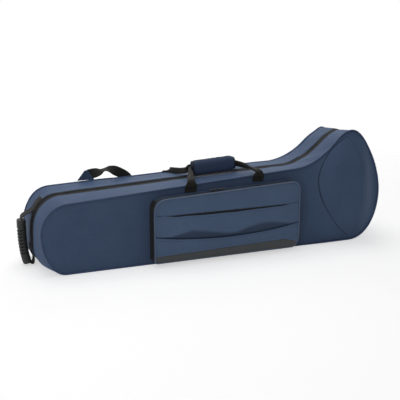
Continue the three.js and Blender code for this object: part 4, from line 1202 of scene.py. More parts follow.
def across_grid(left, right, columns, rows):
    """Places u from left to right, closer together at both ends and the same in every row."""
    even = np.linspace(0, 1, columns)
    shares = 0.45 * even + 0.55 * (0.5 - 0.5 * np.cos(math.pi * even))
    return np.repeat(mix(left, right, shares)[:, None], rows, axis=1)


def pocket_grid(inset, columns=72):
    """Places u, v over the pocket's outline, with a step in the rows at the slit."""
    lower, upper = pocket_edges(inset)
    u = across_grid(-POCKET_HALF + inset, POCKET_HALF - inset, columns, 1)
    low = np.interp(u, lower[:, 0], lower[:, 1])
    high = np.interp(u, upper[:, 0], upper[:, 1])
    below = np.concatenate([[0], np.linspace(0.022, 1, 14)])[None, :]
    above = np.concatenate([[0, 0.06], np.linspace(0.14, 0.955, 9), [1]])[None, :]
    v = np.hstack([mix(low, SLIT - 0.4, below), mix(SLIT + 0.8, high, above)])
    return np.repeat(u, v.shape[1], axis=1), v


def pocket_loop(inset, pitch=4.0):
    """The pocket's outline once round at an even pitch, anticlockwise."""
    lower, upper = pocket_edges(inset)
    closed = closed_up(np.vstack([lower, upper[::-1]]))
    total = lengths_along(closed)
    return at_lengths(closed, total, np.linspace(0, total[-1], int(total[-1] / pitch), endpoint=False))


def loop_normals(loop):
    """Outward normals of an anticlockwise loop."""
    along = np.roll(loop, -1, axis=0) - np.roll(loop, 1, axis=0)
    along /= np.linalg.norm(along, axis=1)[:, None]
    return np.column_stack([along[:, 1], -along[:, 0]])


def seam_height(u):
    """Height of the curved seam between the two slot pockets."""
    return 74 - 15 * (1 - (u / (POCKET_HALF - 4)) ** 2)


def edge_room(u, v):
    """Distance in from the pocket's edges, roughly."""
    lower, upper = pocket_edges(0)
    sides = POCKET_HALF - np.abs(u)
    return np.minimum(np.minimum(sides, v - np.interp(u, lower[:, 0], lower[:, 1])),
                      np.interp(u, upper[:, 0], upper[:, 1]) - v)


def padding_out(u, v):
    """How far the pocket's filled front swells."""
    room = edge_room(u, v)
    slack = 0.7 * rough_grid(u, v, 3, 60) + 0.3 * rough_grid(u, v, 9, 22)
    return 2.2 * smooth(room / 45) + slack * smooth(room / 20)


def hem_stitches(name, run, material, slot, sizes):
    """A row of stitches on the pocket's front."""
    sewn(name, [(run, np.tile(POCKET_OUT, (len(run), 1)))], material, slot, "pocket_front", *sizes)


def pocket_panel():
    """The pocket's front: a shallow padded tray whose band above the slit folds over it."""
    u, v = pocket_grid(0)
    hem = bump_at(v, SLIT + 3, 3.5) * (v > SLIT) * smooth((POCKET_HALF - 12 - np.abs(u)) / 40) * 1.8
    band = smooth((v - SLIT) / 1.2) * smooth((POCKET_TOPS[0] - 6 - v) / 30) * 1.6
    w = PANEL_FRONT + padding_out(u, v) + (band + hem) * smooth((POCKET_HALF - 3 - np.abs(u)) / 20)
    w[:, 0] = w[:, -1] = PANEL_FRONT
    w[0] = w[-1] = PANEL_FRONT
    inner = pocket_grid(3)
    rings = [edge_of(on_pocket(u, v, depth)) for depth in (PANEL_FRONT - 1.2, PANEL_FRONT - 4, PANEL_BACK)]
    rings += [edge_of(on_pocket(*inner, depth)) for depth in (PANEL_BACK, PANEL_BACK + 4)]
    # Painted shade round the panel's edge and down the sides of its rim.
    tint = np.zeros(u.shape)
    tint[:, 0] = tint[:, -1] = tint[0] = tint[-1] = 1
    tint[:, 1] = tint[:, -2] = 0.4
    panel = slab("pocket_front", on_pocket(u, v, w), rings, on_pocket(*inner, PANEL_BACK + 4),
                 (tint, [0.8, 0.9, 0.9, 0.8, 0.0, 0.0]), lined_from=3)
    fitted(subdivided(panel), [pocket_navy, zip_tape_black], "navy_nylon", "pocket_front", "pocket_panel")


def middle_band():
    """The upper slot pocket: loose cloth that gapes at its top and tucks into folds above the lower seam."""
    columns, rows = 110, 34
    u = across_grid(-BAND_HALF, BAND_HALF, columns, rows)
    room = BAND_HALF - np.abs(u)
    middle = smooth(room / 60)
    gape = bump_at(u, -15, 135) * middle
    uneven = np.array([roughness_at(a, 0, 0, 40) for a in u[:, 0]])[:, None]
    low = seam_height(u) - 3
    high = (SLIT - 0.4 - (1.8 + 3.4 * gape) * smooth((BAND_HALF - 12 - np.abs(u)) / 40)
            - 1.6 * middle * (0.5 + 0.6 * uneven))
    even = np.linspace(0, 1, rows)
    v = low + (high - low) * (0.5 * even + 0.5 * (0.5 - 0.5 * np.cos(math.pi * even)))[None, :]
    above = v - seam_height(u)
    tuck = np.interp(u, *zip(*RIDGE)) + 2.5
    pillow = 7.5 * smooth(room / 75) * smooth((high + 12 - v) / 50)
    rolled = smooth(above / tuck * 1.1)
    ridge = bump_at(above, tuck * 1.08, 5 + tuck * 0.22) * smooth(tuck / 9) * 4.6
    creases = sum(depth * bump_at(v - (start_v + (u - start_u) * slope), 0, width)
                  * smooth((reach - np.abs(u - middle_u)) / 25)
                  for start_u, start_v, slope, width, depth, middle_u, reach in CREASES)
    w = (LAYER_FRONT + 1.1 + padding_out(u, v) + (pillow + ridge) * rolled + creases * middle
         + 1.1 * rough_grid(u, 1.4 * v, 31, 40) * middle + 2.2 * gape * smooth((v - high + 16) / 16))
    under_lower = smooth((seam_height(u) + 1 - v) / 2)
    w = mix(w, LAYER_FRONT + 0.4 + padding_out(u, v), under_lower * 0.9)
    w = mix(LAYER_FRONT + 0.2, w, smooth(room / 3))
    front = on_pocket(u, v, w)
    # Painted shade just above the lower seam, in the pool under the folds' ridge and at the band's ends.
    tint = (smooth((4.5 - above) / 5) * 0.5
            + 0.66 * smooth((1.12 * tuck - above) / (0.55 * tuck)) * smooth(tuck / 8)
            + 0.45 * smooth((2.2 - room) / 2))
    band = slab("middle_slot_band", front, [], on_pocket(u, v, w - 0.9), (np.clip(tint, 0, 1), [0.2]))
    fitted(subdivided(band), pocket_navy, "navy_nylon", "pocket_front", "upper_slot_panel")
    row = np.argmin(np.abs(v - (high - 4.5)[:, :1]), axis=1)
    run = np.array([front[i, row[i]] for i in range(3, columns - 3)])
    hem_stitches("slot_hem_stitches", run, navy_thread, "navy_nylon", HEM_THREAD)


def slit_shadow():
    """A near-black strip behind the slit, painted shade for the slot's shadowed inside."""
    reach = POCKET_HALF - 8
    u = np.repeat(np.linspace(-reach, reach, 60)[:, None], 5, axis=1)
    v = SLIT - 7 + np.linspace(0, 7.6, 5)[None, :] + 0 * u
    w = LAYER_FRONT + 0.2 + padding_out(u, v)
    strip = slab("slot_shade_strip", on_pocket(u, v, w), [], on_pocket(u, v, w - 0.5), (np.ones(u.shape), [1.0]))
    fitted(strip, slot_shade_black, "navy_nylon", "pocket_front")


def lower_band():
    """The lower slot pocket with its rolled top edge, standing off a little along the curved seam."""
    columns, rows = 100, 16
    u = across_grid(-BAND_HALF, BAND_HALF, columns, rows)
    room = BAND_HALF - np.abs(u)
    low = np.interp(u, *zip(*TRIM_LINE)) - 2.5
    high = seam_height(u)
    share = np.concatenate([np.linspace(0, 0.94, rows - 3), [0.965, 0.985, 1.0]])
    v = low + (high - low) * share[None, :]
    below = high - v
    lift = 1.6 * smooth(room / 70) * smooth((22 - below) / 22)
    w = LAYER_FRONT + 2.2 + padding_out(u, v) + lift + 0.6 * rough_grid(u, v, 57, 34) * smooth(room / 30)
    w = mix(LAYER_FRONT + 0.3, w + 0.5 * bump_at(below, 3.0, 2.2), smooth(room / 3))
    front = on_pocket(u, v, w)
    # Painted shade at the band's ends, where it tucks in.
    tint = 0.45 * smooth((2.2 - room) / 2)
    band = slab("lower_slot_band", front, [], on_pocket(u, v, w - 0.9), (tint, [0.3]))
    fitted(subdivided(band), pocket_navy, "navy_nylon", "pocket_front", "lower_slot_panel")
    row = int(np.argmin(np.abs(share - 0.88)))
    hem_stitches("lower_hem_stitches", front[3:-3, row], navy_thread, "navy_nylon", HEM_THREAD)


def foot_trim():
    """Grained trim along the pocket's foot, peaked near the right corner."""
    lower, _ = pocket_edges(2.2)
    columns, rows = 90, 9
    left, right = lower[0, 0], lower[-1, 0]
    u = across_grid(left, right, columns, rows)
    low = np.interp(u, lower[:, 0], lower[:, 1])
    high = np.maximum(np.interp(u, *zip(*TRIM_LINE)), low + 1.0)
    v = low + (high - low) * np.linspace(0, 1, rows)[None, :]
    w = LAYER_FRONT + 3.0 + padding_out(u, v) * 0.9
    inside = np.minimum(np.minimum(v - low, high - v), (right - np.abs(u)))
    w = w - 1.4 * (1 - smooth((inside + 0.4) / 2.2))
    trim = slab("pocket_foot_trim", on_pocket(u, v, w), [], on_pocket(u, v, LAYER_FRONT + 0.1))
    fitted(subdivided(trim), trim_vinyl, "charcoal_trim", "pocket_front", "bottom_trim")
    run = on_pocket(u[3:-8, 0], high[3:-8, 0] - 2.6, w[3:-8, 6] + 0.15)
    hem_stitches("trim_stitches", run, black_thread, "charcoal_trim", TRIM_THREAD)


def pocket_sides():
    """The pocket's side wall on the case and the two zip tapes with their teeth."""
    loop = pocket_loop(0)
    normal = loop_normals(loop)
    stations = []
    for place, out in zip(loop, normal):
        sag = 0.5 + 0.5 * roughness_at(place[0], 5, place[1], 30)
        section = [(0.0, 0.35), (-0.9 * sag, 4), (-1.3 * sag, 8), (-0.8 * sag, 12),
                   (0.2, 14.2), (-0.6, 15.0), (-3.0, 15.0), (-3.0, 0.35)]
        stations.append([on_pocket(*(place + out * away), w) for away, w in section])
    # The wall darkens towards its top and its ends take the black tape's finish: partly the dark zip tape,
    # partly painted shade.
    wall = swept("pocket_side_wall", stations, True, [0.75 * smooth(out[1] * 2) for out in normal])
    fitted(wall, [pocket_navy, zip_tape_black], "navy_nylon", "lid", "pocket_gusset")
    for polygon in wall.data.polygons:
        polygon.material_index = int(abs(polygon.center.x) > (POCKET_HALF - 10) * MM)
    track = pocket_loop(1.4, 3.0)
    turned = loop_normals(track)
    path = on_pocket(track[:, 0], track[:, 1], COIL_LEVEL)
    up = on_pocket(track[:, 0] + turned[:, 0], track[:, 1] + turned[:, 1], COIL_LEVEL) - path
    for word, start, end, phase, way, body, node in (
            ("back", 15.1, 20.0, 0.0, -1, "lid", "pocket_zip_tape"),
            ("front", 21.0, 26.2, 0.5, 1, "pocket_front", "pocket_panel_tape")):
        name = f"pocket_zip_half_{word}"
        section = ((0.0, start), (0.1, mix(start, end, 0.5)), (0.0, end), (-1.3, end), (-1.3, start))
        stations = [[on_pocket(*(place + out * away), w) for away, w in section]
                    for place, out in zip(track, turned)]
        tape = swept(name, stations, True)
        outwards = np.tile(POCKET_OUT, (len(track), 1)) * way
        hooks = zip_teeth(path, outwards, up, POCKET_COIL_REACH, phase, POCKET_COIL_PITCH)
        teeth = bare_piece(name + "_coil", *hooks)
        zip_half(name, tape, teeth, body, node)


def pocket_cord():
    """The thin covered cord round the pocket's front edge."""
    loop = pocket_loop(1.1)
    path = on_pocket(loop[:, 0], loop[:, 1], PANEL_FRONT + 1.2)
    cord = round_cord("pocket_edge_cord", path, 1.45, 10, True, 0.06)
    fitted(cord, piping_light, "piping_vinyl", "pocket_front", "pocket_piping")


piping_light = nylon("pocket_cord_cloth", "#66748c", "#8e9cb4", 0.42, 0.0007)
pocket_sides()
pocket_panel()
slit_shadow()
middle_band()
lower_band()
foot_trim()
pocket_cord()


# The carry handle.
FOOT_XS = (-0.0989 * LENGTH, 0.1011 * LENGTH)
GRIP_XS = (-0.0645 * LENGTH, 0.062 * LENGTH)
GRIP_MIDDLE = sum(GRIP_XS) / 2
TOP_SLOPE = (WAIST[1] - SHOULDER[1]) / (WAIST[0] - SHOULDER[0])


def top_at(side, x):
    """Height of a face's top edge."""
    share = depth_share(side)
    front_x = x + BACK_SHIFT * share
    height = float(np.interp(front_x, UPPER[:, 0], UPPER[:, 1]))
    return float(shifted(np.array([[front_x, height]]), share)[0, 1])


def edge_place(side, x):
    """A place on a face's top edge."""
    top = top_at(side, x)
    return np.array([x, face_y(side, x, top), top])


GRIP_CLEARANCE = 6.5
GRIP_RISE = 17
GRIP_HEIGHT = top_at(1, GRIP_MIDDLE) + GRIP_CLEARANCE + GRIP_RISE
GRIP_Y = -12
FRONT_DROP = 3
FLAT_WIDTH, ROLLED_WIDTH = 30, 15.5
FLAT_THICKNESS, ROLLED_THICKNESS = 2.1, 6.8
# From a strap's foot to the grip: shares of the way inwards, of the rise and of the roll.
FRONT_RUN = ((0, 0.16, 0.2), (0.0, 0.36, 0.66), (0.06, 0.56, 0.85), (0.36, 0.8, 0.94), (0.75, 0.96, 1),
             (1, 1, 1))
REAR_RUN = ((0.03, 0.1, 0.3), (0.1, 0.2, 0.75), (0.2, 0.27, 0.95), (0.4, 0.36, 1), (0.65, 0.46, 1),
            (0.86, 0.62, 1), (1, 0.8, 1))
# The wrap's section: half its size out and up, and how square it is.
WRAP_OUT, WRAP_UP, WRAP_SQUARE = 11.2, 16.8, 3.2
# The wrap's creases: the place of each along it, its width and its depth.
WRAP_CREASES = ((0.13, 0.02, 1.0), (0.34, 0.025, 1.2), (0.45, 0.02, 1.6), (0.56, 0.022, 1.5),
                (0.68, 0.025, 1.3), (0.88, 0.02, 1.0))


def grip_z(x):
    """Height of the carry grip's middle, which slopes with the top."""
    return GRIP_HEIGHT + (x - GRIP_MIDDLE) * TOP_SLOPE


def half_loop(side, foot_x, grip_x, out, core_y):
    """One end of a carry strap, from its sewn foot to the grip.

    Each row has a place, the width direction's x and z, the width and the thickness.
    """
    core_x = grip_x + out * 6
    _, face, top = edge_place(side, foot_x)
    lifted = face + side * 5.8
    rise = grip_z(core_x) - top - (FRONT_DROP if side < 0 else 0)
    foot_z = top - 2 * PIPING - (12 if side < 0 else 24)
    rows = [(foot_x, face_y(side, foot_x, foot_z) + side * 1.6, foot_z, 1, 0, FLAT_WIDTH, 2.0),
            (foot_x, face_y(side, foot_x, top - 9) + side * 1.7, top - 9, 1, 0, FLAT_WIDTH, 2.0),
            (foot_x, mix(face, lifted, 0.8), top - 2.5, 1, 0, FLAT_WIDTH, FLAT_THICKNESS)]
    turn_rate = 1 if side < 0 else 4
    for inwards, upwards, roll in FRONT_RUN if side < 0 else REAR_RUN:
        turned = smooth(inwards * turn_rate)
        rows.append((mix(foot_x, core_x, inwards), mix(lifted, core_y, inwards), top + rise * upwards,
                     1 - 0.9 * turned, 0.95 * turned + 0.02, mix(FLAT_WIDTH, ROLLED_WIDTH, roll),
                     mix(FLAT_THICKNESS, ROLLED_THICKNESS, roll ** 2)))
    return rows


def carry_strap(word, side, core_y):
    """One carry strap, flat where it is sewn on, rolled narrow through the grip, with its feet stitched."""
    left = half_loop(side, FOOT_XS[0], GRIP_XS[0], -1, core_y)
    right = half_loop(side, FOOT_XS[1], GRIP_XS[1], 1, core_y)
    drop = FRONT_DROP if side < 0 else 0
    core = [(x, core_y, grip_z(x) - drop, 0, 1, ROLLED_WIDTH, ROLLED_THICKNESS)
            for x in np.linspace(*GRIP_XS, 5)]
    flipped = [(x, y, z, -a, b, width, thick) for x, y, z, a, b, width, thick in reversed(right)]
    rows = through(left + core + flipped, 9)
    across = np.column_stack([rows[:, 3], np.zeros(len(rows)), rows[:, 4]])
    name = f"{word}_carry_strap"
    nodes = [f"{word}_handle_{part}" for part in ("strap", "foot_left", "foot_right")]
    piece = subdivided(strap(name, rows[:, :3], across, rows[:, 5], rows[:, 6], 0.5))
    fitted(piece, strap_black, "black_webbing", None, *nodes)
    start, end = (edge_place(side, x) for x in FOOT_XS)
    along = (end - start) / np.linalg.norm(end - start)
    up = np.array([0, 0, 1.0]) - along[2] * along
    up /= np.linalg.norm(up)
    body, _ = half_of(side)
    ((start - 3 * up) * MM).tolist()
    ((start + 7 * up) * MM).tolist()
    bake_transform(piece)
    lines = [(0, 1), (1, 2), (2, 3), (3, 0)] + ([(0, 2), (1, 3)] if side > 0 else [])
    runs = []
    for foot_x in FOOT_XS:
        top = top_at(side, foot_x) - 2 * PIPING
        low = top - (9 if side < 0 else 21)
        corners = np.array([(-11, low), (11, low), (11, top - 3), (-11, top - 3)])
        for a, b in lines:
            steps = np.linspace(0, 1, 6)
            x = foot_x + mix(corners[a, 0], corners[b, 0], steps)
            z = mix(corners[a, 1], corners[b, 1], steps)
            y = np.array([face_y(side, px, pz) + side * 2.75 for px, pz in zip(x, z)])
            runs.append((np.column_stack([x, y, z]), np.tile((0, side, 0), (6, 1))))
    sewn(name + "_stitches", runs, black_thread, "black_webbing", body, *STRAP_THREAD)


def grip_point(x, out, up):
    """A place on the grip: x along it, out to its front, up square to its slope."""
    slope = math.atan(TOP_SLOPE)
    return (GRIP_MIDDLE + (x - GRIP_MIDDLE) * math.cos(slope) - up * math.sin(slope), GRIP_Y - out,
            GRIP_HEIGHT + (x - GRIP_MIDDLE) * math.sin(slope) + up * math.cos(slope))


def grip_ring(x, sides=44):
    """The padded wrap's outside at one place along it, with an overlap low on its front."""
    share = (x - GRIP_XS[0]) / (GRIP_XS[1] - GRIP_XS[0])
    ends = smooth(min(share, 1 - share) / 0.05)
    closed = 1 - 0.07 * (1 - smooth(share / 0.07)) - 0.24 * (1 - smooth((1 - share) / 0.13))
    crease = sum(depth * math.exp(-((share - middle) / width) ** 2) for middle, width, depth in WRAP_CREASES)
    ring = []
    for i in range(sides):
        angle = TURN * i / sides
        c, s = math.cos(angle), math.sin(angle)
        reach = (abs(c) ** WRAP_SQUARE + abs(s) ** WRAP_SQUARE) ** (-1 / WRAP_SQUARE)
        swell = (0.8 * ends + 0.5 * roughness_at(2 * x, 30 * c, 30 * s, 22)
                 + 0.5 * roughness_at(4 * x, 14 * c, 14 * s, 17)
                 - crease * (0.55 + 0.45 * roughness_at(x, 9 * c, 9 * s, 9)))
        pinch = 0.9 * (bump_at(s, 1, 0.12) + bump_at(s, -1, 0.12))
        lap = 0.7 * smooth((-s - 0.72) / 0.05) * (c > -0.3)
        out = c * reach * (WRAP_OUT + swell) * (0.5 + 0.5 * closed)
        up = s * reach * (WRAP_UP + 0.8 * swell + pinch) * closed
        ring.append(grip_point(x, out + lap * c, up))
    return np.array(ring)


grip_navy = nylon("grip_nylon", "#3c4a63", "#50617f", 0.62)


def grip_wrap():
    """The padded wrap closed round the straps, with bound ends and bound long edges."""
    first, last = GRIP_XS
    places = np.concatenate([[first, first + 0.8], np.linspace(first + 2, last - 2, 56), [last - 0.8, last]])
    rings = np.array([grip_ring(x) for x in places])

    def towards_middle(ring, share):
        middle = ring.mean(axis=0)
        return middle + (ring - middle) * share

    stations = [towards_middle(rings[0], 0.45), towards_middle(rings[0], 0.8), *rings,
                towards_middle(rings[-1], 0.8), towards_middle(rings[-1], 0.45)]
    # Painted shade where the wrap's ends turn in.
    tints = [1, 0.8, 0.5, 0.2] + [0] * 56 + [0.2, 0.5, 0.8, 1]
    wrap = subdivided(swept("handle_grip_wrap", stations, tints=tints))
    fitted(wrap, grip_navy, "navy_nylon", "front_handle", "handle_wrap")
    cords = [round_cord("grip_end_binding", grip_ring(x), 1.5, 8, True) for x in (first + 1.6, last - 1.6)]
    cords += [round_cord("grip_edge_binding", rings[1:-1, i], 1.2, 8, False, 0.1) for i in (11, 33)]
    cords.append(round_cord("grip_lap_binding", rings[3:-3, 37], 0.7, 6, False, 0.2))
    fitted(joined("grip_bindings", cords), strap_black, "black_webbing", "front_handle")
    middle = np.array([grip_point(x, 0, 0) for x in places[3:-3]])
    runs = [(rings[3:-3, i], rings[3:-3, i] - middle) for i in (9, 35)]
    sewn("grip_stitches", runs, navy_thread, "navy_nylon", "front_handle", *HEM_THREAD)


carry_strap("front", -1, GRIP_Y)
carry_strap("rear", 1, 3.6)
grip_wrap()


# The grip on the slide end.
END_Y = 25
END_SHARE = 0.5 + END_Y / (2 * half_depth(-HALF))
GRIP_OUT = -HALF - BACK_SHIFT * END_SHARE - 8 - 11
END_GRIP = (112, 5.5)
END_BLOCK = 22
RIBS = 8
# A rib's stations, as shares of its length.
RIB_SHARES = (0.0, 0.08, 0.16, 0.26, 0.38, 0.5, 0.6, 0.7, 0.82, 0.92)
# The grip's webbing: width, thickness and rounding.
END_WEBBING = (29, 2, 0.4)


def end_grip_path(steps=40):
    """The end grip's middle from its top to its foot, which leans in."""
    leans = ((0, 0), (0.35, 0), (0.7, 0.3), (1, 1))
    return through([(GRIP_OUT + 9 * lean, END_Y, mix(*END_GRIP, down)) for down, lean in leans], steps)


def ribbed_grip():
    """A rubber grip with end blocks and eight rounded ribs on its outer side."""
    path = end_grip_path()
    total = lengths_along(path)
    share_along = total / total[-1]
    block = END_BLOCK / (END_GRIP[0] - END_GRIP[1])
    rib = (1 - 2 * block) / RIBS
    shares = [0, 0.006, 0.02, block * 0.5, block * 0.9]
    for i in range(RIBS):
        shares.extend(block + (i + s) * rib for s in RIB_SHARES)
    shares += [1 - block, 1 - block * 0.5, 0.98, 0.994, 1]
    stations = []
    for share in shares:
        place = at_lengths(path, share_along, share)
        ahead = at_lengths(path, share_along, min(share + 0.01, 1))
        behind = at_lengths(path, share_along, max(share - 0.01, 0))
        down = (ahead - behind) / np.linalg.norm(ahead - behind)
        outer = np.array([down[2], 0, -down[0]])
        ribbed = block <= share < 1 - block - 1e-6
        phase = ((share - block) / rib) % 1
        dip = 6.2 * (1 - smooth((abs(phase - 0.27) - 0.1) / 0.2)) if ribbed else 0
        end = smooth(min(share, 1 - share) / 0.02)
        ring = []
        for x, y in rounded_section(33 - 2.4 * (1 - end), 20 - 2 * (1 - end), 5, 4):
            depth = y - dip * smooth(y / 6) if y > 0 else y
            narrowed = math.copysign(0.25 * dip, x) * (abs(x) > 12)
            ring.append(place + outer * depth + np.array([0, 1, 0]) * (x - narrowed))
        stations.append(ring)
    grip = subdivided(swept("end_rubber_grip", stations))
    fitted(grip, grip_rubber, "black_rubber", "back_half", "end_grip")


def end_webbing():
    """Webbing sewn to the slide end above and below, which carries the grip."""
    ring, normal = outline(END_SHARE)

    def on_end(row, out):
        near, share = int(math.floor(row)), row - math.floor(row)
        spot = mix(ring[near % len(ring)], ring[(near + 1) % len(ring)], share)
        away = mix(normal[near % len(ring)], normal[(near + 1) % len(ring)], share)
        return np.array([spot[0] + away[0] * out, END_Y, spot[1] + away[1] * out])

    rise = 2.2
    top, foot = end_grip_path()[[0, -1]]
    upper = [on_end(-k, rise) for k in (8, 7, 5.5, 4)]
    upper += [top + (8, 0, 13), top + (1.5, 0, 7.5), top + (0, 0, 1), top + (0, 0, -3)]
    hang = foot[0] + 13
    lower = [foot + (1, 0, 5), foot + (5, 0, 1.2), (hang, END_Y, 4.5), (hang + 2.4, END_Y, 14),
             (hang + 1.8, END_Y, 27), on_end(5.6, rise), on_end(4.4, rise), on_end(3.2, rise)]
    for word, knots in (("upper", upper), ("lower", lower)):
        path = through(knots, 8)
        across = np.tile((0, 1, 0), (len(path), 1))
        piece = subdivided(strap(f"end_webbing_{word}", path, across, *END_WEBBING))
        fitted(piece, strap_black, "black_webbing", "back_half", f"end_strap_{word}")
    path = through(upper[:4], 8)
    along = directions(path)
    out = np.column_stack([along[:, 2], 0 * along[:, 0], -along[:, 0]])
    out *= np.sign(out[:, 2:] - 1e-9)
    seam, lift = 11, 1.15
    runs = [(path[2:26] + out[2:26] * lift + (0, y, 0), out[2:26]) for y in (-seam, seam)]
    for row in (3, 15):
        steps = np.linspace(-seam, seam, 5)
        runs.append((path[row] + out[row] * lift + np.outer(steps, (0, 1, 0)), np.tile(out[row], (5, 1))))
    sewn("end_webbing_stitches", runs, black_thread, "black_webbing", "back_half", *STRAP_THREAD)


ribbed_grip()
end_webbing()


# Shoulder straps on the back.
TAB_X = -0.3367 * LENGTH
TAB_HALF = 22
TAB_BASES = (top_at(1, TAB_X + TAB_HALF) + 2 * PIPING, 2 * PIPING + SEAT)
PAD_START = -0.1333 * LENGTH
PAD_LENGTH = 0.2389 * LENGTH
PAD_MIDDLE = PAD_START + PAD_LENGTH / 2
PAD_Z = (131.1, 63.1)
PAD_HALF = 29
PAD_EDGE_OUT = 4.4
# The pad's rings from its back to its front: inset, and out from the case.
PAD_RINGS = ((20, 1.4), (5, 1.4), (1.2, 2.8), (0.3, PAD_EDGE_OUT), (1.2, 6.2), (5, 8.4), (12, 9.6),
             (20, 10.2))
BUCKLE_HALF = 14.6
WEB_END = PAD_START - 27
ARCH_LEAN = 10
# The webbing's middle, out from the case: on its tab, on its way and by the buckle.
WEB_OUTS = (4.8, 5.9, 3.8)
# The webbing's way over the buckle's bar and into the pad: x from WEB_END, and out.
BUCKLE_COURSE = ((4, 2.6), (9, 3.6), (13.5, 7.6), (18, 3.6), (23, 2.4), (34, 3.4))
UPPER_COURSE = ((0.02, 0.16, 0), (0.16, 0.065, 0.55), (0.24, -0.005, 0.95), (0.36, 0.005, 0.5),
                (0.5, 0.15, 0), (0.66, 0.39, 0), (0.8, 0.815, 0), (0.93, 1, 0), (1, 1, 0))
LOWER_COURSE = ((0.02, 0.26, 0), (0.18, 0.285, 0), (0.45, 0.545, 0), (0.7, 0.855, 0), (0.9, 1, 0), (1, 1, 0))
patch_cloth = nylon("patch_cloth", "#1d1e21", "#2d2f33", 0.65, 0.0011)


def sewn_patch(name, corners, thickness, base, material, slot, node, columns=16, rows=12):
    """A cloth patch on the back face between four corners (x, z), stitched round just inside its edge."""
    puff = 0.5
    a, b, c, d = corners = np.array(corners, float)
    s = np.concatenate([[0, 0.04], np.linspace(0.1, 0.9, columns - 4), [0.96, 1]])[:, None, None]
    t = np.concatenate([[0, 0.05], np.linspace(0.12, 0.88, rows - 4), [0.95, 1]])[None, :, None]
    flat = (1 - t) * ((1 - s) * a + s * b) + t * ((1 - s) * d + s * c)
    x, z = flat[..., 0], flat[..., 1]
    inside = np.minimum(np.minimum(s, 1 - s), np.minimum(t, 1 - t))[..., 0]
    wave = rough_grid(x, z, 70, 24)
    out = base + thickness * (0.55 + 0.45 * smooth(inside / 0.06)) + puff * wave * smooth(inside / 0.2)
    # Painted shade towards the patch's edge.
    tints = (0.6 * (1 - smooth(inside / 0.03)), [0.5])
    patch = slab(name, on_back(x, out, z), [], on_back(x, base, z), tints)
    fitted(subdivided(patch), material, slot, "back_half", node)
    centre = (a + b + c + d) / 4
    inner = [centre + (corner - centre) * (1 - 4.5 / np.linalg.norm(corner - centre) * 1.3)
             for corner in corners]
    runs = []
    for i in range(4):
        line = np.linspace(inner[i], inner[(i + 1) % 4], 10)
        top = np.array([base + thickness + puff * roughness_at(x, 70, z, 24) for x, z in line])
        runs.append((on_back(line[:, 0], top + 0.05, line[:, 1]), np.tile(BACK_OUT, (10, 1))))
    sewn(name + "_stitches", runs, black_thread, slot, "back_half", *PATCH_THREAD)


def shoulder_tabs():
    """The tabs that hold the webbing's ends, above the top edge and by the foot."""
    for word, base in zip(("upper", "lower"), TAB_BASES):
        corners = [(TAB_X - TAB_HALF, base - 3), (TAB_X + TAB_HALF, base - 3),
                   (TAB_X + 6, base + 21), (TAB_X - 2, base + 22)]
        sewn_patch(f"{word}_strap_tab", corners, 2.6, 0.5, pocket_navy, "navy_nylon", f"strap_tab_{word}")


def shoulder_webbing(word, tab_z, pad_z, course):
    """Webbing from a tab, flat over the piping, through its buckle and sewn into the pad.

    Its course gives shares of the way along and of the way up or down, and how far it lies over on its side.
    """
    on_tab, on_way, by_buckle = WEB_OUTS
    rows = []
    for i, (run, rise, twist) in enumerate(course):
        out = on_tab if i < 2 else by_buckle if i >= len(course) - 2 else on_way
        height = mix(tab_z, pad_z, rise)
        lean = 0
        if tab_z > pad_z:
            height -= 0.27 * max(0, height - TAB_BASES[0])
            lean = ARCH_LEAN * smooth(run / 0.2) * (1 - smooth((run - 0.4) / 0.5))
        rows.append((mix(TAB_X, WEB_END, run) + lean, out, height, twist, 1 - twist))
    rows += [(WEB_END + x, out, pad_z, 0, 1) for x, out in BUCKLE_COURSE]
    rows = through(rows, 8)
    across = np.column_stack([0 * rows[:, 3], rows[:, 3], rows[:, 4]])
    piece = strap(f"{word}_shoulder_webbing", on_back(*rows[:, :3].T), across, 25, 1.7, 0.5)
    fitted(subdivided(piece), strap_black, "black_webbing", "back_half", f"shoulder_web_{word}")


def ladder_buckle(name, pad_z, node):
    """A moulded ladder buckle: a rounded frame and a bar across its middle."""
    low, high = WEB_END + 2.4, WEB_END + 24
    corner = 2.5
    loop = []
    for turn, (x, way_x, way_z) in enumerate(((high, 1, 1), (low, -1, 1), (low, -1, -1), (high, 1, -1))):
        for step in range(5):
            angle = (turn + step / 4) * math.pi / 2
            loop.append((x - way_x * corner + corner * math.cos(angle), 3.9,
                         pad_z + way_z * BUCKLE_HALF - way_z * corner + corner * math.sin(angle)))
    even = even_path(closed_up(np.array(loop)), 2.5)
    out = even[:, 1] + 0.9 * bump_at(even[:, 0], low, 4)
    rim = round_cord(name, on_back(even[:, 0], out, even[:, 2]), 1.9, 12, True)
    middle = np.linspace(pad_z - BUCKLE_HALF, pad_z + BUCKLE_HALF, 9)
    bar = round_cord("bar", on_back((low + high) / 2, 5.0, middle), 1.7, 12)
    fitted(joined(name, [rim, bar]), buckle_plastic, "black_plastic", "back_half", node)


def places_of(mesh):
    """The mesh's points in metres, one in each row."""
    places = np.empty(len(mesh.vertices) * 3)
    mesh.vertices.foreach_get("co", places)
    return places.reshape(-1, 3)


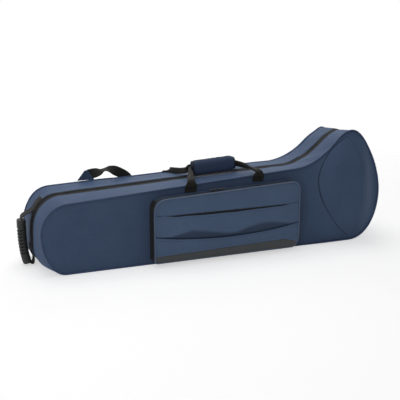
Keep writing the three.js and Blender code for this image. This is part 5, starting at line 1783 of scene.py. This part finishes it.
def puffed(piece, voxel, pressure, cap, frames=20):
    """Remeshes a padded piece and lets it swell as cloth under pressure, each point by no more than a cap."""
    finish_with(piece, ("REMESH", {"mode": "VOXEL", "voxel_size": voxel * MM}))
    stage = bpy.context.scene
    start = places_of(piece.data)
    cloth = piece.modifiers.new("Cloth", "CLOTH")
    cloth.settings.quality = 6
    cloth.settings.mass = 0.2
    cloth.settings.use_pressure = True
    cloth.settings.uniform_pressure_force = pressure
    cloth.settings.effector_weights.gravity = 0
    cloth.settings.bending_stiffness = 0.4
    cloth.point_cache.frame_start = 1
    cloth.point_cache.frame_end = frames
    for moment in range(1, frames + 1):
        stage.frame_set(moment)
    end = places_of(piece.evaluated_get(bpy.context.evaluated_depsgraph_get()).to_mesh())
    piece.modifiers.remove(cloth)
    stage.frame_set(1)
    move = end - start
    length = np.linalg.norm(move, axis=1)[:, None]
    capped = move / np.maximum(length, 1e-9) * (cap * MM * np.tanh(length / (cap * MM)))
    piece.data.vertices.foreach_set("co", (start + capped).ravel())
    piece.data.update()


def pad_edge(pad_z, inset, steps=96):
    """The shoulder pad's outline, x and z, once round."""
    turns = np.linspace(0, TURN, steps, endpoint=False)
    c, s = np.cos(turns), np.sin(turns)
    reach_x = PAD_LENGTH / 2 - inset
    x = np.sign(c) * np.abs(c) ** 0.28 * reach_x
    z = np.sign(s) * np.abs(s) ** 0.55 * (PAD_HALF - inset) * (1 - 0.1 * (x / reach_x) ** 2)
    return PAD_MIDDLE + x, pad_z + z


def shoulder_pad(name, pad_z, node):
    """One padded strap: a swollen mesh-covered pad, bound all round, with two sewn lines along it."""
    rings = []
    for inset, out in PAD_RINGS:
        x, z = pad_edge(pad_z, inset)
        rings.append(on_back(x, out, z))
    pad = swept(name, rings)
    puffed(pad, 4, 3.5, 3.2)
    spots = places_of(pad.data) / MM
    away = (spots - (0, BACK_PLANE, 0)) @ BACK_OUT
    line = bump_at(spots[:, 2], pad_z + 15, 2.2) + bump_at(spots[:, 2], pad_z - 15, 2.2)
    line *= smooth((PAD_LENGTH / 2 - 16 - np.abs(spots[:, 0] - PAD_MIDDLE)) / 6)
    change = np.where(away > 6, -1.5 * line, 0) + np.maximum(0.7 - away, 0) - np.maximum(away - 13.5, 0)
    spots += change[:, None] * np.array(BACK_OUT)
    pad.data.vertices.foreach_set("co", (spots * MM).ravel())
    fitted(subdivided(pad), pad_mesh, "black_webbing", "back_half", node)
    x, z = pad_edge(pad_z, 0.2, 140)
    course = closed_up(on_back(x, PAD_EDGE_OUT, z))
    binding = strap(name + "_binding", course, np.tile((0, 1, 0), (len(course), 1)), 7.4, 1.7, 0.3)
    fitted(binding, strap_black, "black_webbing", "back_half")


def pads_and_patch():
    """Both padded straps with their webbing and buckles, and the patch that holds the pads."""
    shoulder_webbing("upper", TAB_BASES[0] + 26, PAD_Z[0], UPPER_COURSE)
    shoulder_webbing("lower", TAB_BASES[1], PAD_Z[1], LOWER_COURSE)
    for word, z in zip(("upper", "lower"), PAD_Z):
        ladder_buckle(f"{word}_ladder_buckle", z, f"strap_buckle_{word}")
        shoulder_pad(f"{word}_shoulder_pad", z, f"shoulder_pad_{word}")
    x, z = PAD_START + PAD_LENGTH - 3, sum(PAD_Z) / 2
    corners = [(x, z - 60), (x + 95, z - 60), (x + 95, z + 60), (x, z + 60)]
    sewn_patch("pad_anchor_patch", corners, 1.8, 0.3, patch_cloth, "black_webbing", "anchor_patch", 24, 28)


shoulder_tabs()
pads_and_patch()


# Inside the case. A retaining strap and its tab: width and thickness.
RETAINER_BAND, RETAINER_TAB = (31, 1.1), (27, 0.7)


def soft_block(name, node, voxel, rounds, body):
    """A foam block under plush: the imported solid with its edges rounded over."""
    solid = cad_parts[node].data
    block = new_piece(name, places_of(solid) / MM, [list(polygon.vertices) for polygon in solid.polygons])
    finish_with(block, ("REMESH", {"mode": "VOXEL", "voxel_size": voxel * MM}),
                ("SMOOTH", {"iterations": rounds, "factor": 0.6}))
    fitted(block, lining_plush, "dark_plush", body, node)


def retainer(name, node, body, way):
    """A hook-and-loop retaining strap across a channel: sewn at its foot, with a free tab at its top."""
    low, high = box_of(node)
    x = (low[0] + high[0]) / 2
    z = np.linspace(low[2], high[2], 26)
    sag = 0.5 * np.array([roughness_at(x, 3, h, 40) for h in z])
    path = np.column_stack([np.full(26, x), np.full(26, (low[1] + high[1]) / 2) + sag * 0.3, z])
    band = strap(name, path, np.tile((1, 0, 0), (26, 1)), *RETAINER_BAND)
    tab = strap("tab", path[-7:] + (0, way * 0.75, 0), np.tile((1, 0, 0), (7, 1)), *RETAINER_TAB)
    fitted(joined(name, [band, tab]), strap_black, "black_webbing", body, node)
    face = (low[1] if way < 0 else high[1]) + way * 0.05
    steps = np.linspace(0, 1, 5)
    left, right, foot, top = -12, 12, 5, 16
    runs = []
    for a, b, c, d in ((left, foot, right, foot), (right, foot, right, top), (right, top, left, top),
                       (left, top, left, foot), (left, foot, right, top), (right, foot, left, top)):
        run = np.column_stack([x + mix(a, c, steps), np.full(5, face), low[2] + mix(b, d, steps)])
        runs.append((run, np.tile((0, way, 0), (5, 1))))
    sewn(name + "_stitches", runs, black_thread, "black_webbing", body, *RETAINER_THREAD)


soft_block("lid_foam", "front_foam", 5, 8, "lid")
soft_block("back_foam_block", "back_foam", 5, 8, "back_half")
soft_block("mouthpiece_block", "mouthpiece_holder", 2.5, 6, "back_half")
retainer("slide_retainer_left", "slide_strap_1", "lid", 1)
retainer("slide_retainer_right", "slide_strap_2", "lid", 1)
retainer("bell_retainer", "bell_strap", "back_half", -1)


# Sliders and pullers: a slider's length, width and height, and a puller's length, width and thickness.
MAIN_SLIDER, MAIN_PULLER = (20, 9, 2.1), (33, 8, 1.8)
POCKET_SLIDER, POCKET_PULLER = (12.6, 9, 3.9), (18.6, 6, 1.6)


def seat_at(*vectors):
    """A slider's seat as arrays: its place, its way along, its way across and its way up."""
    return [np.array(vector, float) for vector in vectors]


def flat_plate(name, edge, low, high, seat, rounding):
    """A flat plate with softened edges: edge points (along, across), between two heights, in a seat."""
    place, along, across, up = seat
    count = len(edge)
    points = [place + a * along + b * across + h * up for h in (low, high) for a, b in edge]
    faces = [list(range(count - 1, -1, -1)), list(range(count, 2 * count))]
    faces += [[i, (i + 1) % count, count + (i + 1) % count, count + i] for i in range(count)]
    piece = new_piece(name, points, faces)
    return finish_with(piece, ("BEVEL", {"width": rounding * MM, "segments": 3, "limit_method": "ANGLE"}))


def runner(name, seat, length, width, height, material, slot, body, node):
    """A zip slider: two waisted plates, the post between them and the bridge that holds its puller."""
    half, side = length / 2, width / 2
    waisted = [(-half, -side * 0.62), (-half * 0.2, -side * 0.7), (half * 0.5, -side), (half, -side * 0.72),
               (half, side * 0.72), (half * 0.5, side), (-half * 0.2, side * 0.7), (-half, side * 0.62)]
    post = [(half * 0.2, -side * 0.3), (half * 0.8, -side * 0.2),
            (half * 0.8, side * 0.2), (half * 0.2, side * 0.3)]
    place, along, across, up = seat
    arch = through([place + along * half * a + up * height * h
                    for a, h in ((-0.75, 0.7), (-0.5, 1.1), (0.2, 1.15), (0.6, 0.75))], 6)
    pieces = [flat_plate(name, waisted, 0, height * 0.3, seat, 0.25),
              flat_plate("upper", waisted, height * 0.62, height * 0.86, seat, 0.25),
              flat_plate("post", post, height * 0.2, height * 0.7, seat, 0.2),
              strap("bridge", arch, np.tile(across, (len(arch), 1)), side * 0.6, height * 0.14)]
    fitted(joined(name, pieces), material, slot, body, node)


def pull(name, seat, length, width, thickness, material, slot, body, node):
    """A flat puller: a rounded frame with an open eye at the slider and a ribbed insert."""
    place, along, across, up = seat
    half = width / 2
    inner = 0.12 * width
    path = []
    for step in range(40):
        angle = TURN * step / 40
        c, s = math.cos(angle), math.sin(angle)
        a = length / 2 + length / 2 * math.copysign(abs(c) ** 0.45, c)
        b = half * math.copysign(abs(s) ** 0.6, s) * mix(0.72, 1.0, smooth(a / length * 1.6))
        path.append(place + along * (inner + a * (1 - 2 * inner / length)) + across * b * (1 - inner / half))
    path = closed_up(np.array(path))
    rim = strap(name, path, np.tile(up, (len(path), 1)), thickness, inner * 1.9)
    start, end, reach = length * 0.42, length * 0.94, half * 0.78
    edge = [(start, -reach), (end, -half * 0.85 * 0.78), (end, half * 0.85 * 0.78), (start, reach)]
    ribbed = [flat_plate("insert", edge, -thickness * 0.3, thickness * 0.3, seat, 0.2)]
    reach = half * 0.55
    for share in (0.52, 0.6, 0.68, 0.76, 0.84):
        start, end = length * share, length * (share + 0.03)
        edge = [(start, -reach), (end, -reach), (end, reach), (start, reach)]
        ribbed.append(flat_plate("rib", edge, thickness * 0.2, thickness * 0.42, seat, 0.1))
    rim.data.materials.append(material)
    for piece in ribbed:
        piece.data.materials.append(buckle_plastic)
    fitted(joined(name, [rim] + ribbed), None, slot, body, node)


def sliders():
    """The main slider and its puller, and the pocket's two of each."""
    downwards = (1, 0, 0), (0, -1, 0), (0, 0, -1)
    low, high = box_of("main_slider")
    runner("main_zip_slider", seat_at(((low[0] + high[0]) / 2, 0, high[2]), *downwards), *MAIN_SLIDER,
           plated_metal, "silver_metal", "zip_slide", "main_slider")
    low, high = box_of("main_puller")
    pull("main_zip_puller", seat_at((low[0] + 0.5, 0, (low[2] + high[2]) / 2), *downwards), *MAIN_PULLER,
         plated_metal, "silver_metal", "zip_pull", "main_puller")
    slope = math.atan2(POCKET_TOPS[1] - POCKET_TOPS[0], 2 * POCKET_HALF)
    along = np.array((math.cos(slope) * math.cos(TAPER), math.cos(slope) * math.sin(TAPER), math.sin(slope)))
    up = np.cross(along, POCKET_OUT)
    up *= np.sign(up[2])
    for side, way in (("left", -1), ("right", 1)):
        directed = along * way, POCKET_OUT, up
        middle = sum(box_of(f"pocket_slider_{side}")) / 2
        runner(f"pocket_zip_slider_{side}", seat_at(middle - up * 1.9, *directed), *POCKET_SLIDER,
               dark_metal, "black_plastic", f"pocket_slide_{side}", f"pocket_slider_{side}")
        middle = sum(box_of(f"pocket_puller_{side}")) / 2
        start = middle - along * way * (POCKET_PULLER[0] / 2)
        pull(f"pocket_zip_puller_{side}", seat_at(start, *directed), *POCKET_PULLER,
             dark_metal, "black_plastic", f"pocket_pull_{side}", f"pocket_puller_{side}")


sliders()
